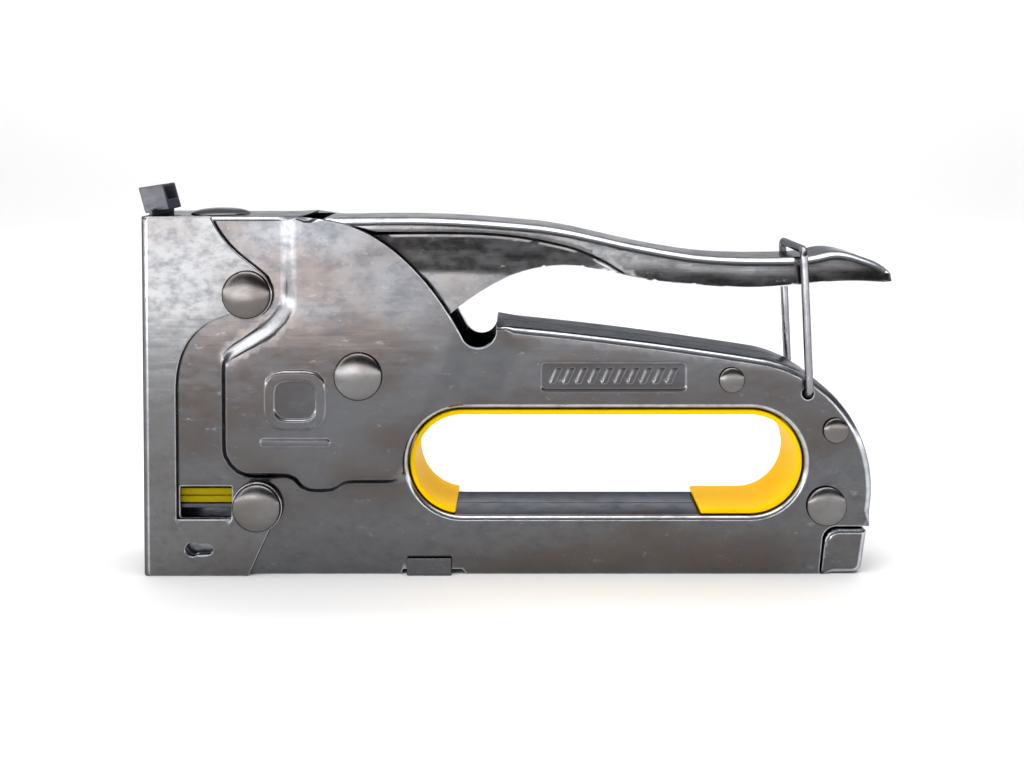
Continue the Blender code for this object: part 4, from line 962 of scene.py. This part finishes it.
SEAT = 0.0770
CAP_BOSS = 0.0030
CAP_EDGE = 0.0003
CAP_RADIUS = 0.0076
CAP_LIP = 0.0025
DOME_RADIUS = 0.0067
DOME_RISE = 0.0013
cap_profile = [(0, SEAT - CAP_BOSS), (CAP_BOSS - CAP_EDGE, SEAT - CAP_BOSS), (CAP_BOSS, SEAT - CAP_BOSS + CAP_EDGE),
               (CAP_BOSS, SEAT), (CAP_RADIUS - CAP_EDGE, SEAT), (CAP_RADIUS, SEAT + CAP_EDGE),
               (CAP_RADIUS, SEAT + CAP_LIP - CAP_EDGE), (CAP_RADIUS - CAP_EDGE, SEAT + CAP_LIP),
               (DOME_RADIUS, SEAT + CAP_LIP)]
cap_profile += [(DOME_RADIUS * math.cos(a), TOP_Z + DOME_RISE * math.sin(a))
                for a in np.radians(np.linspace(0, 84, 15))]
cap_profile.append((0, TOP_Z + DOME_RISE))
spring_cap = turned("spring_cap_turned", cap_profile, (SPRING_X, 0, 0))
fitted(spring_cap, "housing", "nickel_plate", lever_nickel_lit_copy, "spring_cap")


# ---------------------------------------------------------------- Striker
# The hardened blade that drives each staple, hooked on a block that the spring pushes down and the
# lift arm pulls up by its slotted plate.
finished("striker_blade", 0.00015, "striker", "spring_steel", spring_wire)
finished("striker_carrier", 0.00025, "striker", "dark_steel", dark_steel)


# ---------------------------------------------------------------- Striker bumper and bridge
# A block of yellow plastic with a groove along each side takes the striker's blow. It lies on a bent
# steel bridge over the magazine and shows through the window in the body.
def moulded_plastic(name, colour, shade, rough):
    """Glossy moulded plastic with faint flow marks, pores and handling scuffs."""
    material = bpy.data.materials.new(name)
    material.use_nodes = True
    tree = material.node_tree
    shader = tree.nodes["Principled BSDF"]
    shader.inputs["IOR"].default_value = 1.45
    shader.inputs["Specular IOR Level"].default_value = 0.015
    place = tree.nodes.new("ShaderNodeTexCoord").outputs["Object"]
    flow = noise(tree, place, 60, 3, 0.5, (1, 1, 2.5))
    pores = noise(tree, place, 2600, 2, 0.6)
    scuff = ranged(tree, noise(tree, place, 700, 6, 0.7, (0.4, 1, 1)), 0.58, 0.75)
    tone = mixed(tree, ranged(tree, flow, 0.35, 0.70, 0.0, 0.6), colour, shade)
    tone = mixed(tree, maths(tree, "MULTIPLY", scuff, 0.10), tone, (0.98, 0.74, 0.10, 1))
    tree.links.new(tone, shader.inputs["Base Color"])
    tree.links.new(maths(tree, "ADD", rough, maths(tree, "MULTIPLY", scuff, 0.18)), shader.inputs["Roughness"])
    level = maths(tree, "ADD", maths(tree, "MULTIPLY", flow, 0.5), maths(tree, "MULTIPLY", pores, 0.2))
    bump = node(tree, "Bump", [("Strength", 0.35), ("Distance", 0.00012), ("Height", level)])
    tree.links.new(bump.outputs[0], shader.inputs["Normal"])
    return material


# Painted shade: a darker copy of the yellow plastic, for the shade inside the window.
bumper_yellow_shaded_copy = moulded_plastic("bumper_yellow_shaded_copy", (0.38, 0.30, 0.005, 1), (0.30, 0.22, 0.005, 1), 0.35)
finished("striker_bumper", 0.00012, "housing", "yellow_plastic", bumper_yellow_shaded_copy)
finished("bumper_bridge", 0.0002, "housing", "dark_steel", dark_steel)


# ---------------------------------------------------------------- Magazine
# A fixed zinc-plated channel over the staples, and inside it the rail that they straddle. A saddle
# on a round rod pushes them forward under a long light coil, and the rail slides out at the tail.
for name, width, body in (("magazine_channel", 0.0002, "housing"), ("magazine_rail", 0.0002, "magazine"),
                          ("staple_pusher", 0.00012, "pusher")):
    finished(name, width, body, "zinc_plate", zinc)
ROD_Z = 0.0054
ROD = 0.0020
ROD_END = 0.0002
rod_low, rod_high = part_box("pusher_rod")
rod_line = [(x, 0, ROD_Z) for x in np.linspace(rod_low[0] + ROD_END, rod_high[0] - ROD_END, 24)]
fitted(wire_piece("pusher_rod_drawn", rod_line, ROD), "magazine", "spring_steel", spring_wire, "pusher_rod")
FEED_RADIUS = 0.0020
FEED_WIRE = 0.0006
FEED_END = 0.0003
feed_low, feed_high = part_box("pusher_spring")
feed = coil_piece("pusher_coil", FEED_RADIUS, FEED_WIRE, 18.0, feed_low[0] + FEED_END,
                  feed_high[0] - FEED_END, (0, ROD_Z), True)
fitted(feed, "magazine", "spring_steel", spring_wire, "pusher_spring")
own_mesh(feed)


# ---------------------------------------------------------------- Tail cap and catch
# A nickel-plated cap pressed over the end of the rail, with its edges rounded for finger and thumb.
# A spring leaf under the rail's top snaps behind the body to hold it shut.
CAP_FRONT, CAP_REAR, CAP_TOP = CUT_X + 0.0006, REAR_X - 0.0012, CUT_Z - 0.0006
cap_line = [(CAP_FRONT, 0.0), (CAP_REAR - 0.0035, 0.0)]
cap_line += arc((CAP_REAR - 0.0035, 0.0025), 0.0025, -90, -8, 10)
cap_line += [(CAP_REAR, CAP_TOP - 0.0008), (CAP_REAR - 0.0008, CAP_TOP)]
cap_line += arc((CAP_FRONT + CUT_RADIUS + CAP_SHOULDER, CAP_TOP - CUT_RADIUS), CUT_RADIUS, 90, 180, 10)
cap_line = evened(cap_line, 0.0009)
cap_bends = [0.0013 * min(1, i / 3, (len(cap_line) - 1 - i) / 3) for i in range(len(cap_line))]
front_line = evened([cap_line[-1], cap_line[0]], 0.0012)[1:-1]
cap_points = cap_line + front_line
cap_bends += [None] * len(front_line)
tail_bm = both_sides(cap_points, cap_bends, HALF_WIDTH, pitch=0.0011)
tail_cap = sheet_metal(made("tail_cap_pressing", tail_bm), SHEET, 0.0002)
fitted(tail_cap, "magazine", "nickel_plate", body_nickel, "tail_cap")
finished("magazine_catch", 0.0001, "magazine", "spring_steel", spring_wire)


# ---------------------------------------------------------------- Finger-hole liner
# A strip of glossy yellow plastic that lines the finger hole. It is sprung in from below, so it is
# open along the middle of the floor and ends in two short feet.
def across(name, outline, y0, y1):
    """A side-view outline pushed across the tool."""
    bm = bmesh.new()
    near, far = ([bm.verts.new((x, y, z)) for x, z in outline] for y in (y0, y1))
    bm.faces.new(near)
    bm.faces.new(far[::-1])
    for i in range(len(outline)):
        j = (i + 1) % len(outline)
        bm.faces.new((near[i], far[i], far[j], near[j]))
    bmesh.ops.recalc_face_normals(bm, faces=bm.faces)
    return made(name, bm)


REAR_FOOT = 0.0232
FRONT_FOOT_DEG = 262
LINER_GAP = 0.0003
LINER_WALL = 0.0011
LINER_HALF = 0.0084


def liner_path(inset):
    """The liner's line at a distance inside the finger hole, from the front foot to the rear one."""
    r = HOLE_RADIUS - inset
    middle = HOLE[2] + HOLE_RADIUS
    path = arc((HOLE[0] + HOLE_RADIUS, middle), r, FRONT_FOOT_DEG, 90, 40)
    return path + arc((HOLE[1] - HOLE_RADIUS, middle), r, 90, -90, 40) + [(HOLE[1] - REAR_FOOT, middle - r)]


yellow = moulded_plastic("yellow_plastic", (0.94, 0.585, 0.0, 1), (0.92, 0.53, 0.0, 1), 0.34)
liner_outline = liner_path(LINER_GAP) + liner_path(LINER_GAP + LINER_WALL)[::-1]
liner = across("grip_liner_moulding", liner_outline, -LINER_HALF, LINER_HALF)
break_edges(liner, 0.00035, 60, 3)
fitted(settled(liner), "housing", "yellow_plastic", yellow, "grip_liner")


# ---------------------------------------------------------------- Bottom clip
# A strap of 0.8 mm steel let into the bottom edges of both halves and turned up outside them.
clip_steel = plated_steel("clip_steel", (0.115, 0.116, 0.122), 0.3, 0.24, 1.4)
finished("bottom_clip", 0.0003, "housing", "dark_steel", clip_steel)


# ---------------------------------------------------------------- Rivets and spacers
# Solid steel rivets with low domed heads on both sides, set cold and plated with the body. Plain
# tubes on the three rear shanks keep the halves apart.
def rivet_tree():
    """Geometry Nodes: a two-headed rivet across Y at each point."""
    tree, given, result = group_of(
        "domed rivets", [("Geometry", "Geometry"), ("Head", "Float"), ("Crown", "Float"), ("Shank", "Float"),
                         ("Seat", "Float"), ("Metal", "Material")], [("Geometry", "Geometry")],
        "GeometryNodeTree")
    add, link = tree.nodes.new, tree.links.new

    def sum_of(operation, a, b):
        cell = add("ShaderNodeMath")
        cell.operation = operation
        for socket, value in zip(cell.inputs, (a, b)):
            if isinstance(value, bpy.types.NodeSocket):
                link(value, socket)
            else:
                socket.default_value = value
        return cell.outputs[0]

    ball, place, shape, other, shank, whole, copies, real, smooth, metal = [
        add("GeometryNode" + kind) for kind in (
            "MeshUVSphere", "InputPosition", "SetPosition", "Transform", "MeshCylinder", "JoinGeometry",
            "InstanceOnPoints", "RealizeInstances", "SetShadeSmooth", "SetMaterial")]
    split, merge = add("ShaderNodeSeparateXYZ"), add("ShaderNodeCombineXYZ")
    ball.inputs["Segments"].default_value = 48
    ball.inputs["Rings"].default_value = 25
    ball.inputs["Radius"].default_value = 1.0
    link(place.outputs[0], split.inputs[0])
    link(sum_of("MULTIPLY", split.outputs[0], given.outputs["Head"]), merge.inputs[0])
    link(sum_of("MULTIPLY", split.outputs[1], given.outputs["Head"]), merge.inputs[1])
    upper = sum_of("MAXIMUM", split.outputs[2], 0.0)
    rise = sum_of("MULTIPLY", sum_of("POWER", upper, 0.72), given.outputs["Crown"])
    lower = sum_of("MULTIPLY", sum_of("MINIMUM", split.outputs[2], 0.0), 0.00004)
    link(sum_of("ADD", sum_of("ADD", rise, lower), given.outputs["Seat"]), merge.inputs[2])
    link(ball.outputs["Mesh"], shape.inputs["Geometry"])
    link(merge.outputs[0], shape.inputs["Position"])
    other.inputs["Rotation"].default_value = (math.pi, 0, 0)
    link(shape.outputs["Geometry"], other.inputs["Geometry"])
    shank.inputs["Vertices"].default_value = 32
    link(given.outputs["Shank"], shank.inputs["Radius"])
    link(sum_of("MULTIPLY", given.outputs["Seat"], 2.0), shank.inputs["Depth"])
    for part in (shape.outputs["Geometry"], other.outputs["Geometry"], shank.outputs["Mesh"]):
        link(part, whole.inputs[0])
    link(given.outputs["Geometry"], copies.inputs["Points"])
    link(whole.outputs[0], copies.inputs["Instance"])
    copies.inputs["Rotation"].default_value = (math.pi / 2, 0, 0)
    link(copies.outputs[0], real.inputs[0])
    link(real.outputs[0], smooth.inputs["Geometry"])
    link(smooth.outputs["Geometry"], metal.inputs["Geometry"])
    link(given.outputs["Metal"], metal.inputs["Material"])
    link(metal.outputs["Geometry"], result.inputs[0])
    return tree


rivet_shape = rivet_tree()
rivet_nickel = plated_steel("rivet_nickel", (0.20, 0.197, 0.195), 0.5, 0.17, 0.9, 0.5)
LARGE, MEDIUM, SMALL = (0.0054, 0.0015, 0.0025), (0.0045, 0.0013, 0.0020), (0.0029, 0.0009, 0.0013)
for label, (head, crown, shank), seat in (
        ("front_upper", LARGE, 0.0106), ("front_lower", LARGE, 0.0106), ("lever_pivot", LARGE, 0.0111),
        ("rear_lower", MEDIUM, 0.0093), ("rear_upper", SMALL, 0.0093), ("grip", SMALL, 0.0093)):
    x, z = RIVETS[label]
    rivet = grown(label + "_rivet_set", rivet_shape, {"Head": head, "Crown": crown, "Shank": shank, "Seat": seat,
                                                      "Metal": rivet_nickel}, [(x, 0, z)])
    rivet.data.set_sharp_from_angle(angle=math.radians(60))
    fitted(rivet, "housing", "nickel_plate", rivet_nickel, label + "_rivet")
for name in ("rear_lower_spacer", "rear_upper_spacer", "grip_spacer"):
    finished(name, 0.00015, "housing", "zinc_plate", zinc)


# ---------------------------------------------------------------- Studio
# A plain pale floor that turns up into the backdrop, in a soft dome of light with a bright band at
# the horizon for the plated sides to mirror. Three large soft panels fill in from above and the left.
floor_bm = bmesh.new()
FLOOR_FRONT = -0.31
SWEEP_START = 0.9
SWEEP = 0.5
profile = [(FLOOR_FRONT, 0.0)]
profile += [(SWEEP_START + SWEEP * math.sin(a), SWEEP - SWEEP * math.cos(a))
            for a in np.radians(np.linspace(0, 90, 17))]
profile.append((1.4, 3.0))
rows = [[floor_bm.verts.new((x, y, z)) for x in (-3.0, 3.0)] for y, z in profile]
for near, far in zip(rows, rows[1:]):
    floor_bm.faces.new((near[0], near[1], far[1], far[0]))
floor = made("floor", floor_bm)
floor.data.shade_smooth()
paper = bpy.data.materials.new("pale_paper")
paper.use_nodes = True
matt = paper.node_tree.nodes["Principled BSDF"]
matt.inputs["Base Color"].default_value = (0.86, 0.86, 0.86, 1)
matt.inputs["Roughness"].default_value = 0.9
floor.data.materials.append(paper)

bpy.context.scene.view_settings.view_transform = "Standard"
world = bpy.data.worlds.new("studio")
bpy.context.scene.world = world
world.use_nodes = True
sky = world.node_tree
way = sky.nodes.new("ShaderNodeTexCoord")
split = sky.nodes.new("ShaderNodeSeparateXYZ")
ramp = sky.nodes.new("ShaderNodeValToRGB")
sky.links.new(way.outputs["Generated"], split.inputs[0])
sky.links.new(maths(sky, "MULTIPLY_ADD", split.outputs["Z"], 0.5, 0.5), ramp.inputs[0])
stops = [(0.0, 0.15), (0.36, 0.3), (0.42, 4.8), (0.505, 5.2), (0.55, 0.14), (0.70, 0.10), (0.82, 0.6),
         (1.0, 0.75)]
for i, (at, value) in enumerate(stops):
    stop = ramp.color_ramp.elements[i] if i < 2 else ramp.color_ramp.elements.new(at)
    stop.position = at
    stop.color = (value, value, value * 1.02, 1)
sky.links.new(ramp.outputs[0], sky.nodes["Background"].inputs["Color"])
falloff = ranged(sky, split.outputs["X"], -0.22, -0.03, 1.25, 0.60)
front = ranged(sky, split.outputs["Y"], -0.3, 0.0, 1.0, 0.0)
level = maths(sky, "ADD", 1.0, maths(sky, "MULTIPLY", front, maths(sky, "SUBTRACT", falloff, 1.0)))
sky.links.new(level, sky.nodes["Background"].inputs["Strength"])


def panel_light(name, place, aim, size, watts):
    """A large soft rectangular light aimed at a point."""
    data = bpy.data.lights.new(name, "AREA")
    data.shape = "RECTANGLE"
    data.size, data.size_y = size
    data.energy = watts
    lamp = bpy.data.objects.new(name, data)
    lamp.location = place
    lamp.rotation_euler = (Vector(aim) - Vector(place)).to_track_quat("-Z", "Y").to_euler()
    bpy.context.scene.collection.objects.link(lamp)


panel_light("overhead_panel", (0.05, -0.15, 0.75), (0, 0, 0.05), (1.1, 0.5), 5)
panel_light("backdrop_panel", (0, 0.35, 1.3), (0, 1.4, 0.5), (1.6, 0.4), 9)
panel_light("left_panel", (-0.75, -0.45, 0.45), (0, 0, 0.04), (0.5, 0.7), 2)

camera_data = bpy.data.cameras.new("camera")
camera = bpy.data.objects.new("camera", camera_data)
bpy.context.scene.collection.objects.link(camera)
bpy.context.scene.camera = camera
camera_data.sensor_width = 36
camera_data.lens = 39.38
camera_data.shift_x = -0.0101
camera_data.shift_y = -0.2191
camera.location = (0.0022, -0.259, 0.100)
camera.rotation_euler = (math.radians(88.5), 0, 0)
camera_data.clip_start = 0.01
